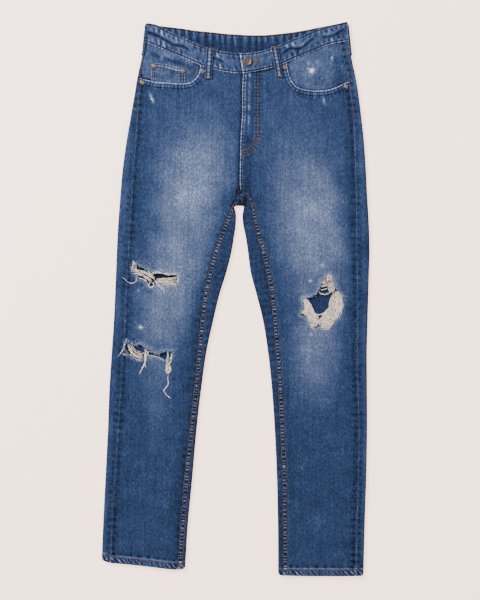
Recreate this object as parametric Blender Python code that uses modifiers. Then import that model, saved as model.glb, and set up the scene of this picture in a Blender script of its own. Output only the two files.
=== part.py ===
"""Ripped jeans laid flat, front side up.

The trousers lie on a table. Every panel is a thin wall of denim at its real size. The back
panels form the bottom layer and roll round the sides and inner legs up to the seams on top,
as they do on the real garment, and the front panels lie between those seams. x runs across
the garment, +y runs towards the waist, +z up. Left and right are as seen from above.
All tables and sizes are in millimetres, measured from the middle of the laid-out garment.
"""

import math

import bmesh
import bpy

MM = 0.001

# Cloth and lay sizes
DENIM = 1.3
BAND_CLOTH = 2.4
LOOP_CLOTH = 1.5
HEM_CLOTH = 2.6
HEM_DEPTH = 11.8
SEAM_GAP = 0.4
WAIST_GAP = 0.7
REST_GAP = 0.35
LAY = 6.4
BAND_LAY = 7.8
SEAT_RAISE = 1.7
SAG = 1.1
BAND_HEIGHT = 36.0
FOLD_STEPS = 4

# Garment sizes
CROTCH_Y = 200.6
YOKE_Y = 424.0
YOKE_DIP = 22.0
WAIST_Y = 488.0
FLY_WIDTH = 23.0
FLY_RAISE = 1.8
FLY_UNDERLAP = 13.0
LAP_START_X = 8.0
LAP_END_X = 46.0
LAP_SLANT = 6.0
BAND_ENDS = (-172.0, 215.0)
BAND_CENTRE_X = 20.0
BAND_LEAN = 4.0
BAND_PUCKER = 0.7
BAND_ROWS = (0.0, 0.25, 0.5, 0.75, 1.0)
LOOP_WIDTH = 11.4
LOOP_LENGTH = 58.0
LOOP_ARCH = 1.2
RIVET_RADIUS = 4.3
RIVET_HEIGHT = 1.7
BUTTON_RADIUS = 8.5
BUTTON_HEIGHT = 3.2
THREAD_RADIUS = 0.6
STRIP_RADIUS = 1.0

# Side lines of each leg, from the waist down: y, outer edge, outseam
SIDE_LINES = {
    "left": (
        (488, -172.0, -167.0),
        (470, -176.0, -171.0),
        (450, -180.5, -175.5),
        (420, -187.0, -180.5),
        (390, -192.0, -184.0),
        (350, -199.0, -187.0),
        (300, -207.5, -190.5),
        (250, -214.5, -194.5),
        (200, -219.0, -198.0),
        (140, -223.5, -201.5),
        (90, -226.0, -204.5),
        (50, -227.5, -207.0),
        (-40, -231.5, -211.0),
        (-100, -235.5, -214.5),
        (-170, -240.0, -219.0),
        (-250, -243.0, -224.0),
        (-340, -247.5, -230.0),
        (-430, -252.0, -235.5),
        (-520, -255.5, -239.0),
    ),
    "right": (
        (488, 216.0, 198.0),
        (470, 219.0, 201.5),
        (450, 222.5, 206.0),
        (420, 229.0, 213.5),
        (390, 234.0, 218.5),
        (350, 239.0, 223.0),
        (300, 244.5, 225.5),
        (250, 248.0, 227.0),
        (200, 250.5, 228.5),
        (140, 254.0, 229.2),
        (90, 255.0, 229.6),
        (50, 254.0, 230.3),
        (-40, 251.5, 230.8),
        (-100, 250.0, 230.8),
        (-170, 250.3, 232.0),
        (-250, 250.5, 234.0),
        (-340, 249.0, 232.5),
        (-430, 246.0, 230.0),
        (-530, 243.5, 228.5),
    ),
}

# Inner lines of each leg, from the crotch down: y, inseam, inner edge
INNER_LINES = {
    "left": (
        (160, -14.5, 1.2),
        (140, -23.0, 0.6),
        (120, -31.0, -2.5),
        (90, -42.0, -7.5),
        (50, -52.5, -17.5),
        (10, -61.0, -30.0),
        (-40, -67.0, -42.0),
        (-100, -72.5, -55.0),
        (-170, -79.0, -65.0),
        (-250, -88.0, -74.0),
        (-340, -98.0, -82.0),
        (-430, -105.0, -90.5),
        (-520, -111.0, -96.0),
    ),
    "right": (
        (160, 31.8, 12.9),
        (140, 35.0, 14.5),
        (120, 40.5, 19.0),
        (90, 49.0, 23.5),
        (50, 58.0, 29.0),
        (10, 65.5, 39.5),
        (-40, 71.0, 52.0),
        (-100, 75.5, 61.5),
        (-170, 80.5, 69.0),
        (-250, 84.5, 74.5),
        (-340, 88.0, 78.5),
        (-430, 89.3, 80.5),
        (-530, 90.0, 81.0),
    ),
}

# Rows at the crotch, where the back rolls round its fold: row y, seam x, fold x, fold y,
# and the direction that the fold faces
CROTCH_ROWS = {
    "left": (
        (200.6, 9.5, 9.5, 177.0, 0.0, -1.0),
        (196.0, 4.6, 5.0, 177.3, 0.0, -1.0),
        (190.0, 1.0, 0.6, 177.0, 0.15, -0.99),
        (185.0, -2.0, -2.2, 175.6, 0.7, -0.71),
        (177.0, -6.0, -1.2, 171.5, 0.98, 0.2),
        (169.0, -10.0, 0.4, 166.0, 1.0, 0.1),
        (160.0, -14.5, 1.2, 159.0, 1.0, 0.0),
        (150.0, -18.8, 1.1, 149.5, 1.0, 0.0),
    ),
    "right": (
        (200.6, 10.1, 10.1, 177.0, 0.0, -1.0),
        (196.0, 21.0, 13.0, 177.2, 0.0, -1.0),
        (190.0, 25.0, 16.2, 175.8, -0.7, -0.71),
        (185.0, 27.3, 15.3, 171.5, -0.98, 0.2),
        (177.0, 29.5, 14.2, 167.0, -1.0, 0.1),
        (169.0, 30.8, 13.3, 162.0, -1.0, 0.0),
        (160.0, 31.8, 12.9, 156.0, -1.0, 0.0),
        (150.0, 33.2, 13.4, 148.5, -1.0, 0.0),
    ),
}

# Fly edge, from the waistband to the crotch: y, x
FLY_LINE = (
    (445, 12.5),
    (426, 14.0),
    (400, 13.0),
    (350, 12.6),
    (320, 10.6),
    (290, 9.2),
    (250, 8.6),
    (222, 8.2),
    (200.6, 9.8),
)

# Waistband edges in plan: x, front top edge, front lower seam, back top edge
WAIST_LINES = (
    (-173, 525, 489, 525),
    (-150, 521, 480, 521),
    (-134, 512, 473, 518.5),
    (-115, 503, 465, 516.5),
    (-96, 495, 457, 514),
    (-77, 486, 449, 511),
    (-58, 479, 441, 509),
    (-37, 473, 435.5, 507),
    (-20, 469, 432, 505),
    (7, 466, 429, 503),
    (28, 467, 430.5, 502),
    (47, 470, 434, 502),
    (66, 476, 438.5, 503),
    (85, 483, 445, 505),
    (104, 492, 453, 507),
    (123, 499, 461, 510),
    (142, 507, 469, 513.5),
    (161, 514, 477, 517.5),
    (180, 519.5, 484, 521),
    (216, 528, 491, 528),
)

# Rows of each leg's panels: reference y, share of the waist slope, share of the yoke's dip
ROWS = (
    (488, 1.0, 0.0),
    (468, 0.8, 0.3),
    (446, 0.58, 0.65),
    (424, 0.36, 1.0),
    (402, 0.16, 0.75),
    (380, 0.0, 0.5),
    (356, 0.0, 0.25),
    (330, 0.0, 0.0),
    (300, 0.0, 0.0),
    (270, 0.0, 0.0),
    (240, 0.0, 0.0),
    (218, 0.0, 0.0),
    (206, 0.0, 0.0),
)
CROTCH_ROW = len(ROWS)
LEG_ROWS = (
    (200.6, 196, 190, 185, 177, 169, 160, 150)
    + (136, 118, 98, 78, 64, 46, 24, 0, -24, -48, -72, -88, -106, -124, -144)
    + (-170, -200, -232, -266, -300, -336, -372, -408, -444)
)
HEM_ROW_ABOVE = (44.0, HEM_DEPTH + 1.2, HEM_DEPTH, 0.0)

# Hem edges: x, y
HEM_LINES = {
    "left": ((-256, -496), (-240, -501), (-210, -504), (-164, -509), (-119, -514), (-96, -513)),
    "right": ((81, -525), (123, -526.5), (190, -527), (244, -526)),
}
HEM_REFERENCE = {"left": -508.0, "right": -526.0}
HEM_SLOPE_START = -300.0

# Columns across a front panel, as shares of its width from the centre line outwards
FRONT_COLUMNS = (0.0, 0.024, 0.05, 0.08, 0.12, 0.18, 0.3, 0.45, 0.6, 0.75, 0.88, 0.96, 1.0)
# Columns across the bottom layer, as shares from the outer fold to the inner one
BACK_COLUMNS = (0.05, 0.11, 0.3, 0.5, 0.7, 0.86, 1.0)

# Largest folds of the front: start x, start y, end x, end y, half width, height
FRONT_FOLDS = (
    (-185, -128, -112, -138, 13, 1.0),
    (-200, 18, -112, -6, 10, -0.7),
    (-200, 98, -120, 92, 12, 0.6),
    (-20, 182, -100, 140, 12, -0.7),
    (-15, 232, -95, 244, 14, -0.6),
    (-60, 378, -22, 322, 13, 0.7),
    (-150, 330, -70, 300, 16, -0.5),
    (-228, -300, -130, -318, 12, 0.6),
    (-232, -402, -132, -424, 12, -0.7),
    (92, 67, 150, 66, 7, -0.7),
    (102, -88, 172, -82, 7, -0.8),
    (40, 184, 118, 150, 12, -0.7),
    (30, 238, 104, 252, 14, -0.6),
    (100, 378, 55, 322, 13, 0.7),
    (190, 330, 110, 300, 16, -0.5),
    (104, -205, 212, -190, 13, 0.7),
    (104, -332, 216, -350, 12, -0.6),
    (104, -430, 212, -420, 12, 0.6),
)

# Waistband creases along its middle: start x, end x, depth
BAND_CREASES = ((-172, -84, 0.9), (-52, -18, 0.7), (84, 152, 0.9), (160, 212, 0.8))

# Front pocket openings, from the inner rivet round to the outseam: x, y
POCKET_CURVES = {
    "left": (
        (-66.5, 452), (-67, 439), (-69, 429), (-74, 421), (-80, 415), (-86, 411.5),
        (-96, 409.5), (-115, 409.5), (-134, 411), (-153, 412), (-170, 416.5), (-192, 422),
    ),
    "right": (
        (97.5, 462), (98, 444), (100, 433), (103, 422), (107, 413), (114, 404.5),
        (123, 400), (136, 397), (152, 395.5), (168, 396), (181, 398.5), (193, 403),
        (205, 409), (238, 423),
    ),
}
# Each facing and the coin pocket: columns and lowest line, x and y
FACING_LOWER = {
    "left": ((-180, 404), (-150, 400), (-115, 397), (-96, 397), (-86, 400), (-77, 405), (-66, 417)),
    "right": ((99, 420), (108, 399), (120, 390), (136, 386), (152, 384.5), (185, 387), (216, 399)),
}
FACING_DROP = {"left": 3.5, "right": 1.8}
FACING_ENDS = {"left": -62.0, "right": 94.0}
COIN_TOP = ((-160, 448.5), (-134, 446), (-115, 441), (-95, 436.5))
COIN_LOWER_Y = 401.0

# Cut rips: outlines, x and y
RIPS = {
    "left_upper": (
        (-193, 66), (-181, 60.5), (-168, 54), (-160, 50), (-147, 48.5), (-136, 50), (-122, 46),
        (-111, 44), (-112, 30), (-126, 28), (-143, 29.5), (-156, 24.5), (-165, 30),
        (-177, 38), (-188, 43), (-195, 53),
    ),
    "left_lower": (
        (-208, -84), (-197, -86), (-187, -91), (-179, -86), (-168, -95), (-157, -103),
        (-146, -106), (-136, -102), (-119, -100.5), (-121, -107), (-132, -114), (-143, -111),
        (-155, -108), (-166, -109), (-176, -113), (-190, -113), (-201, -106), (-209, -94),
    ),
    "right": (
        (181, 45), (186, 33), (188, 24), (195, 15), (202, 8), (204, -10), (201, -25),
        (190, -40), (175, -55), (160, -52), (150, -55), (142, -46), (138, -35), (127, -31),
        (131, -15), (128, 1), (146, 3), (156, 10), (165, 22), (168, 34), (176, 39),
    ),
}

# Loose threads in the rips. Each row of threads lies between two edge lines, x and y, that
# start at the backing strip; lanes are shares of the way from the first line to the second,
# and heights run along each thread
THREAD_ROWS = {
    "rip_threads_left_upper": dict(
        first=((-190, 64), (-178, 58), (-165, 50.5), (-148, 45), (-130, 43.5), (-113.5, 42)),
        second=((-191.5, 49), (-178, 40.5), (-165, 32.5), (-155, 27.5), (-141, 31.5), (-114.5, 31.5)),
        lanes=(0.1, 0.42, 0.55, 0.67, 0.78, 0.89, 0.99),
        heights=(5.4, 5.6, 5.0, 4.6, 5.0, 5.4),
        strip=((-189.3, 62), (-191.3, 56), (-189.3, 49.5)),
    ),
    "rip_threads_left_lower": dict(
        first=((-204.5, -87), (-198, -96), (-188, -102), (-179, -103), (-172, -100)),
        second=((-206, -94), (-199, -103.5), (-189, -110), (-178, -110.5), (-170, -106.5)),
        lanes=(0.0, 0.27, 0.52, 0.76, 1.0),
        heights=(5.6, 5.4, 4.6, 5.0, 5.6),
        strip=((-204, -86), (-206.8, -95)),
    ),
    "rip_threads_right_outer": dict(
        first=((164, -49.5), (169, -36), (176, -20), (180, -2), (184, 12)),
        second=((175, -52.5), (188, -39.5), (199, -23), (201.5, -8), (198, 8)),
        lanes=(0.0, 0.14, 0.28, 0.42, 0.56, 0.7, 0.85, 1.0),
        heights=(5.4, 5.4, 4.8, 5.0, 5.6),
        strip=((162, -50), (176, -53)),
    ),
    "rip_threads_right_inner": dict(
        first=((157.5, -50), (152, -38), (146, -26), (142, -14), (138, -3)),
        second=((149, -53), (143, -44.5), (138.5, -32), (131.5, -24), (132.5, -12)),
        lanes=(0.0, 0.25, 0.5, 0.75, 1.0),
        heights=(5.4, 5.4, 4.8, 5.0, 5.4),
        strip=((159, -50.5), (150.5, -51.5)),
    ),
    "rip_threads_right_top": dict(
        first=((182.5, 39.5), (176, 37), (170, 33)),
        second=((186.5, 22), (176, 19), (166.5, 20.5)),
        lanes=(0.0, 0.3, 0.62, 1.0),
        heights=(5.4, 5.2, 5.2),
        strip=((182.1, 38.8), (187.0, 22.2)),
    ),
}
# Threads that hang out of the lower left rip and lie on the leg: backing strip, then routes
HANGING_THREADS = {
    "rip_threads_left_hang_a": dict(
        strip=((-176, -92), (-167, -97.5)),
        routes=(
            ((-174, -93), (-173, -104), (-173.5, -116), (-178, -126), (-182, -136), (-184, -144)),
            ((-170.5, -95), (-171, -105), (-171.5, -117), (-175.5, -128), (-179, -137)),
            ((-168, -97), (-168.5, -107), (-168.5, -118), (-167, -127)),
        ),
    ),
    "rip_threads_left_hang_b": dict(
        strip=((-133, -103), (-120.5, -102)),
        routes=(
            ((-131.5, -103), (-130.5, -112), (-130, -122), (-130, -133), (-130.5, -142)),
            (
                (-127, -102.6), (-127.5, -113), (-128, -123), (-127.8, -134), (-128, -146),
                (-128.5, -158), (-133, -167), (-135.5, -174), (-131, -182), (-122, -190),
            ),
            ((-122, -102.2), (-123.5, -112), (-125.5, -123), (-125.5, -133), (-125.8, -141)),
        ),
    ),
}

# Back pocket outline, from its middle: x, y
BACK_POCKET = ((-68, 70), (68, 70), (65, -50), (0, -72), (-65, -50))
BACK_POCKET_CENTRES = {"left": (-92, 295), "right": (122, 295)}
# Rows of the bottom layer that lie on the back pockets: first and last reference y
SEAT_TOP, SEAT_LOW = 380.0, 218.0

# Front belt loops: top x, y and lower x, y
FRONT_LOOPS = {"left": ((-48.5, 476.5), (-52.0, 418.5)), "right": ((74.0, 478.5), (84.0, 422.0))}
# Rivets: x, y, and what they sit on
RIVETS = {
    "rivet_left_outer": (-177.5, 411.5, "panel"),
    "rivet_left_inner": (-62.5, 433.5, "panel"),
    "rivet_coin_outer": (-155.5, 443.0, "coin"),
    "rivet_coin_inner": (-100.5, 433.5, "coin"),
    "rivet_right_inner": (92.6, 440.5, "panel"),
    "rivet_right_outer": (210.0, 404.0, "panel"),
}
BUTTON_XY = (23.0, 451.0)

COLOURS = {
    "denim": (0.10, 0.19, 0.36, 1.0),
    "denim_faded": (0.20, 0.29, 0.46, 1.0),
    "thread": (0.74, 0.66, 0.60, 1.0),
    "brass": (0.42, 0.33, 0.24, 1.0),
}


def soft_step(share):
    """0 to 1 with level ends."""
    share = min(1.0, max(0.0, share))
    return share * share * (3.0 - 2.0 * share)


def read(table, column, at):
    """A column of a table, read along its first column with a smooth curve."""
    rows = sorted(table)
    keys = [row[0] for row in rows]
    values = [row[column] for row in rows]
    if at <= keys[0]:
        return values[0]
    if at >= keys[-1]:
        return values[-1]
    i = max(k for k in range(len(keys) - 1) if keys[k] <= at)

    def slope(k):
        low, high = max(0, k - 1), min(len(keys) - 1, k + 1)
        return (values[high] - values[low]) / (keys[high] - keys[low])

    span = keys[i + 1] - keys[i]
    t = (at - keys[i]) / span
    start = (2 * t**3 - 3 * t**2 + 1) * values[i] + (t**3 - 2 * t**2 + t) * span * slope(i)
    end = (3 * t**2 - 2 * t**3) * values[i + 1] + (t**3 - t**2) * span * slope(i + 1)
    return start + end


def blend(a, b, share):
    return a + (b - a) * share


def near_line(x, y, x0, y0, x1, y1):
    """Distance from a point to a straight line between two points."""
    length = math.hypot(x1 - x0, y1 - y0)
    along = ((x - x0) * (x1 - x0) + (y - y0) * (y1 - y0)) / length**2
    along = min(1.0, max(0.0, along))
    return math.hypot(x - blend(x0, x1, along), y - blend(y0, y1, along))


def near_path(path, x, y):
    return min(near_line(x, y, *a, *b) for a, b in zip(path, path[1:]))


def centre_back(y):
    return blend(9.8, 20.0, (y - CROTCH_Y) / 300.0)


def front_low(x):
    return read(WAIST_LINES, 2, x)


def back_low(x):
    return read(WAIST_LINES, 3, x) - BAND_HEIGHT


def outer_edge(side, y):
    return read(SIDE_LINES[side], 1, y)


def outseam(side, y):
    return read(SIDE_LINES[side], 2, y)


def inseam(side, y):
    seam_rows = tuple((row[0], row[1]) for row in CROTCH_ROWS[side])
    leg_rows = tuple((row[0], row[1]) for row in INNER_LINES[side] if row[0] < 145)
    return read(seam_rows + leg_rows, 1, y)


def underlap(y):
    """How far the left front reaches under the fly."""
    width = blend(7.0, FLY_UNDERLAP, soft_step((y - 270.0) / 40.0))
    return width * soft_step((y - 218.0) / 14.0)


def front_inner(side, y):
    """The centre line or inseam edge of a front panel."""
    if y < CROTCH_Y - 0.1:
        return inseam(side, y)
    return read(FLY_LINE, 1, y)


def fly_rise(x, y):
    """How far the right front stands up where it laps over the left one."""
    if y < 204.0:
        return 0.0
    away = x - read(FLY_LINE, 1, y)
    width = blend(11.0, FLY_WIDTH, soft_step((y - 270.0) / 40.0))
    flat = 1.0 - soft_step((away - width) / 12.0)
    zip_line = 0.7 * math.exp(-(((away - 8.0) / 3.5) ** 2)) * soft_step((y - 300.0) / 30.0)
    return (FLY_RAISE * flat + zip_line) * soft_step((y - 204.0) / 6.0)


def lay(side, x, y):
    """Height of the outer face of the top layer of cloth."""
    seam, inner = outseam(side, y), front_inner(side, y)
    share = min(1.0, max(0.0, (x - inner) / (seam - inner)))
    slack = 1.0 - 0.5 * soft_step((y - 160.0) / 60.0) - 0.5 * soft_step((y - 330.0) / 50.0)
    height = LAY - SAG * slack * math.sin(math.pi * share) ** 2
    loose = 1.0 - soft_step((y - 360.0) / 30.0)
    for x0, y0, x1, y1, width, rise in FRONT_FOLDS:
        height += loose * rise * math.exp(-((near_line(x, y, x0, y0, x1, y1) / width) ** 2))
    pucker = math.sin(y / 9.0) + 0.6 * math.sin(y / 5.3 + 1.0)
    height += 0.22 * loose * pucker * math.exp(-(((x - seam) / 9.0) ** 2))
    return height


def band_lay(x, share, lapped):
    """Height of the front waistband's outer face. Share runs from its lower to its top edge."""
    height = BAND_LAY
    if lapped:
        height += (BAND_CLOTH + SEAM_GAP) * (1.0 - soft_step((x - LAP_END_X - 9.0) / 30.0))
    middle = 1.0 - min(1.0, abs(share - 0.5) / 0.25)
    for start, end, depth in BAND_CREASES:
        if start < x < end:
            along = math.sin(math.pi * (x - start) / (end - start)) ** 0.5
            height -= depth * middle * along
            height += 0.35 * depth * (1.0 - middle) * along
    return height


def seat_height(row_y, y, share):
    """Height of the bottom layer's underside, raised over the back pockets and middle loop."""
    over_pocket = soft_step(share / 0.1) if SEAT_LOW <= row_y <= SEAT_TOP else 0.0
    over_loop = soft_step((y - 418.0) / 20.0) * soft_step((share - 0.7) / 0.15)
    return SEAT_RAISE * max(over_loop, over_pocket)


def row_list(side):
    """Rows of one side: reference y, waist share, yoke share and hem share, from the top."""
    hem = HEM_REFERENCE[side]
    rows = [(y, waist, yoke, 0.0) for y, waist, yoke in ROWS]
    plain = list(LEG_ROWS) + [hem + above for above in HEM_ROW_ABOVE]
    for y in plain:
        rows.append((y, 0.0, 0.0, soft_step((HEM_SLOPE_START - y) / (HEM_SLOPE_START - hem))))
    return rows


def front_row_y(side, row, x):
    y, waist, _, hem = row
    y += waist * (front_low(x) - WAIST_GAP - WAIST_Y)
    return y + hem * (read(HEM_LINES[side], 1, x) - HEM_REFERENCE[side])


def back_row_y(side, row, x, share):
    y, waist, yoke, hem = row
    y += waist * (back_low(x) - WAIST_GAP - WAIST_Y) - yoke * YOKE_DIP * share
    return y + hem * (read(HEM_LINES[side], 1, x) - HEM_REFERENCE[side])


def settled(x_of_y, y_of_x, y):
    """The point where a column and a row meet, found by a few turns of one then the other."""
    for _ in range(6):
        x = x_of_y(y)
        y = y_of_x(x)
    return x, y


def material(name, metallic=0.0, roughness=0.9):
    found = bpy.data.materials.get(name)
    if found:
        return found
    made = bpy.data.materials.new(name)
    made.use_nodes = True
    shader = made.node_tree.nodes["Principled BSDF"]
    shader.inputs["Base Color"].default_value = COLOURS[name]
    shader.inputs["Metallic"].default_value = metallic
    shader.inputs["Roughness"].default_value = roughness
    return made


def group(name, hidden=False):
    made = bpy.data.collections.new(name)
    bpy.context.scene.collection.children.link(made)
    made.hide_render = hidden
    return made


def add_object(name, mesh, finish, place):
    piece = bpy.data.objects.new(name, mesh)
    place.objects.link(piece)
    mesh.materials.append(finish)
    return piece


def wall(name, grid, cloth, finish, place, flip=False, thick_rows=None):
    """A cloth wall whose outer face passes through a grid of points; None leaves a gap."""
    mesh = bpy.data.meshes.new(name)
    shape = bmesh.new()
    points = [[p and shape.verts.new([c * MM for c in p]) for p in row] for row in grid]
    for upper, lower in zip(points, points[1:]):
        for i in range(min(len(upper), len(lower)) - 1):
            corners = [upper[i], lower[i], lower[i + 1], upper[i + 1]]
            if None not in corners:
                shape.faces.new(reversed(corners) if flip else corners)
    shape.verts.index_update()
    weights = {}
    for i, row in enumerate(points):
        for vertex in row:
            if vertex is not None:
                weights[vertex.index] = 1.0 if thick_rows and i in thick_rows else cloth / HEM_CLOTH
    shape.to_mesh(mesh)
    shape.free()
    piece = add_object(name, mesh, finish, place)
    solid = piece.modifiers.new("Cloth thickness", "SOLIDIFY")
    solid.offset = -1.0
    solid.use_even_offset = True
    solid.use_quality_normals = True
    solid.thickness = cloth * MM
    if thick_rows:
        hem = piece.vertex_groups.new(name="hem")
        for index, weight in weights.items():
            hem.add([index], weight, "REPLACE")
        solid.vertex_group = "hem"
        solid.thickness = HEM_CLOTH * MM
    mesh.shade_smooth()
    return piece


def meshed(piece, name, place):
    """A curve object turned into a closed mesh object, its loose caps welded on."""
    bpy.context.view_layer.update()
    graph = bpy.context.evaluated_depsgraph_get()
    mesh = bpy.data.meshes.new_from_object(piece.evaluated_get(graph))
    shape = bmesh.new()
    shape.from_mesh(mesh)
    bmesh.ops.remove_doubles(shape, verts=shape.verts, dist=0.00001)
    bmesh.ops.recalc_face_normals(shape, faces=shape.faces)
    shape.to_mesh(mesh)
    shape.free()
    made = bpy.data.objects.new(name, mesh)
    made.matrix_world = piece.matrix_world
    place.objects.link(made)
    bpy.data.objects.remove(piece)
    return made


def outline_solid(name, outline, low, high, place):
    """A flat outline with a thickness, between two heights."""
    curve = bpy.data.curves.new(name, "CURVE")
    curve.dimensions = "2D"
    curve.fill_mode = "BOTH"
    curve.extrude = (high - low) / 2 * MM
    spline = curve.splines.new("POLY")
    spline.points.add(len(outline) - 1)
    for point, (x, y) in zip(spline.points, outline):
        point.co = (x * MM, y * MM, 0.0, 1.0)
    spline.use_cyclic_u = True
    piece = bpy.data.objects.new(name + "_curve", curve)
    piece.location.z = (low + high) / 2 * MM
    bpy.context.scene.collection.objects.link(piece)
    return meshed(piece, name, place)


def tube(name, points, radius, place):
    """A thread with four sides through a list of points."""
    curve = bpy.data.curves.new(name, "CURVE")
    curve.dimensions = "3D"
    curve.bevel_depth = radius * MM
    curve.bevel_resolution = 0
    curve.use_fill_caps = True
    spline = curve.splines.new("POLY")
    spline.points.add(len(points) - 1)
    for point, (x, y, z) in zip(spline.points, points):
        point.co = (x * MM, y * MM, z * MM, 1.0)
    piece = bpy.data.objects.new(name + "_curve", curve)
    bpy.context.scene.collection.objects.link(piece)
    return meshed(piece, name, place)


def cut(piece, cutter):
    cutter.hide_render = True
    cutter.display_type = "WIRE"
    taken = piece.modifiers.new("Cut " + cutter.name, "BOOLEAN")
    taken.operation = "DIFFERENCE"
    taken.solver = "EXACT"
    taken.object = cutter


def front_panel(side, place, cutters):
    """One leg's front, from the waist seam to the hem, between the centre line and outseam."""
    rows = row_list(side)
    columns = FRONT_COLUMNS if side == "right" else FRONT_COLUMNS[::-1]
    inward = 1.0 if side == "left" else -1.0
    grid = []
    for row in rows:
        line = []
        for share in columns:

            def x_at(y, share=share):
                inner = front_inner(side, y)
                if side == "left" and y > CROTCH_Y:
                    inner += underlap(y)
                inner -= inward * SEAM_GAP / 2
                seam = outseam(side, y) + inward * SEAM_GAP / 2
                return blend(inner, seam, share)

            x, y = settled(x_at, lambda x: front_row_y(side, row, x), row[0])
            z = lay(side, x, y)
            if side == "right":
                z += fly_rise(x, y)
            line.append((x, y, z))
        grid.append(line)
    hem_rows = {len(rows) - 2, len(rows) - 1}
    name = "front_panel_" + side
    piece = wall(name, grid, DENIM, material("denim_faded"), place, thick_rows=hem_rows)
    pocket = list(POCKET_CURVES[side])
    top_y = 540.0
    opening = pocket + [(pocket[-1][0], top_y), (pocket[0][0], top_y)]
    cut(piece, outline_solid("opening_" + side, opening, -5.0, 20.0, cutters))
    for rip, outline in RIPS.items():
        if rip.startswith(side):
            cut(piece, outline_solid("cut_" + rip, outline, 3.3, 20.0, cutters))
    return piece


def fold_arc(tangent, outward, radius, top):
    """Points round a fold, from the bottom layer up to the top one."""
    middle = top / 2
    points = []
    for step in range(FOLD_STEPS + 1):
        angle = math.pi * step / FOLD_STEPS
        reach = radius * math.sin(angle)
        x = tangent[0] + outward[0] * reach
        y = tangent[1] + outward[1] * reach
        points.append((x, y, middle - middle * math.cos(angle)))
    return points


def back_section(side, row, crotch_row):
    """One row of the back: outseam, outer fold, bottom layer, and below the crotch the rest."""
    out = -1.0 if side == "left" else 1.0
    radius = LAY / 2
    y0 = row[0]

    def seam_x(y):
        return outseam(side, y) + out * SEAM_GAP / 2

    sx, sy = settled(seam_x, lambda x: front_row_y(side, row, x), y0)
    tx, ty = settled(
        lambda y: outer_edge(side, y) - out * radius, lambda x: front_row_y(side, row, x), y0
    )
    by = back_row_y(side, row, tx, 0.0)
    points = [(sx, sy, lay(side, sx, sy)), (blend(sx, tx, 0.5), blend(sy, ty, 0.5), LAY)]
    for x, y, z in reversed(fold_arc((tx, ty), (out, 0.0), radius, LAY)):
        points.append((x, blend(by, y, z / LAY), z))
    if y0 > CROTCH_Y + 1:
        inner = None
        ix, iy = settled(
            lambda y: centre_back(y) + out * SEAM_GAP / 2,
            lambda x: back_row_y(side, row, x, 1.0),
            y0,
        )
    else:
        inner = crotch_row
        ix = inner[2] - inner[4] * radius
        iy = inner[3] - inner[5] * radius
    for share in BACK_COLUMNS:
        x = blend(tx, ix, share)
        y = blend(by, iy, share)
        if y0 > CROTCH_Y + 1:
            y = back_row_y(side, row, x, share)
        points.append((x, y, seat_height(y0, y, share)))
    if inner:
        _, seam, _, _, nx, ny = inner
        seam += out * -SEAM_GAP / 2
        seam_y = front_row_y(side, row, seam)
        points += fold_arc((ix, iy), (nx, ny), radius, LAY)[1:]
        for share in (0.5, 1.0):
            x, y = blend(ix, seam, share), blend(iy, seam_y, share)
            points.append((x, y, blend(LAY, lay(side, x, y), share)))
    return points


def crotch_rows(side, rows):
    """The fold and seam of every row below the crotch."""
    by_y = {row[0]: row for row in CROTCH_ROWS[side]}
    out = -1.0 if side == "left" else 1.0
    found = []
    for row in rows[CROTCH_ROW:]:
        y = row[0]
        if y in by_y:
            found.append(by_y[y])
            continue
        edge, fold_y = settled(
            lambda at: read(INNER_LINES[side], 2, at), lambda x: front_row_y(side, row, x), y
        )
        seam, _ = settled(
            lambda at: inseam(side, at), lambda x: front_row_y(side, row, x), y
        )
        found.append((y, seam, edge, fold_y, -out, 0.0))
    return found


def back_pieces(side, place):
    """The yoke and the back panel of one side, cut from the same rows at the yoke seam."""
    rows = row_list(side)
    inner = [None] * CROTCH_ROW + crotch_rows(side, rows)
    grid = [back_section(side, row, fold) for row, fold in zip(rows, inner)]
    yoke_row = [row[0] for row in rows].index(YOKE_Y)
    flip = side == "left"

    def shifted(line, by):
        return [(x, y + by, z) for x, y, z in line]

    yoke = grid[:yoke_row] + [shifted(grid[yoke_row], SEAM_GAP / 2)]
    panel = [shifted(grid[yoke_row], -SEAM_GAP / 2)] + grid[yoke_row + 1 :]
    wall("back_yoke_" + side, yoke, DENIM, material("denim"), place, flip)
    hem_rows = {len(panel) - 2, len(panel) - 1}
    wall("back_panel_" + side, panel, DENIM, material("denim"), place, flip, hem_rows)


def band_plan(x, share, back):
    """A point's y on the band in plan. Share runs from its lower to its top edge."""
    low = back_low(x) if back else front_low(x)
    return blend(low, read(WAIST_LINES, 3 if back else 1, x), share)


def band_shear(x):
    """How far the band's ends lean outwards at its lower edge."""
    left, right = BAND_ENDS
    if x < BAND_CENTRE_X:
        return -BAND_LEAN * soft_step((BAND_CENTRE_X - x) / (BAND_CENTRE_X - left))
    return BAND_LEAN * soft_step((x - BAND_CENTRE_X) / (right - BAND_CENTRE_X))


def band_column(x, z_of, back, lap_end=0.0):
    """One column of the band, from its top edge to its lower one."""
    line = []
    for share in BAND_ROWS:
        lower = 1.0 - share
        px = x + band_shear(x) * (lower - 0.5) + lap_end * lower
        line.append((px, band_plan(px, share, back), z_of(px, share)))
    return line


def band_fold(edge_x, out):
    """The band's columns round one side, from one layer to the other."""
    radius = BAND_LAY / 2
    found = []
    for step in range(1, 2 * FOLD_STEPS):
        angle = math.pi * step / (2 * FOLD_STEPS)
        if out > 0:
            angle = math.pi - angle
        line = []
        for share in BAND_ROWS:
            x = edge_x - out * radius + out * radius * math.sin(angle)
            x += band_shear(edge_x) * (0.5 - share)
            back = 0.5 + 0.5 * math.cos(angle)
            y = blend(band_plan(x, share, False), band_plan(x, share, True), back)
            line.append((x, y, radius - radius * math.cos(angle)))
        found.append(line)
    return found


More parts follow.
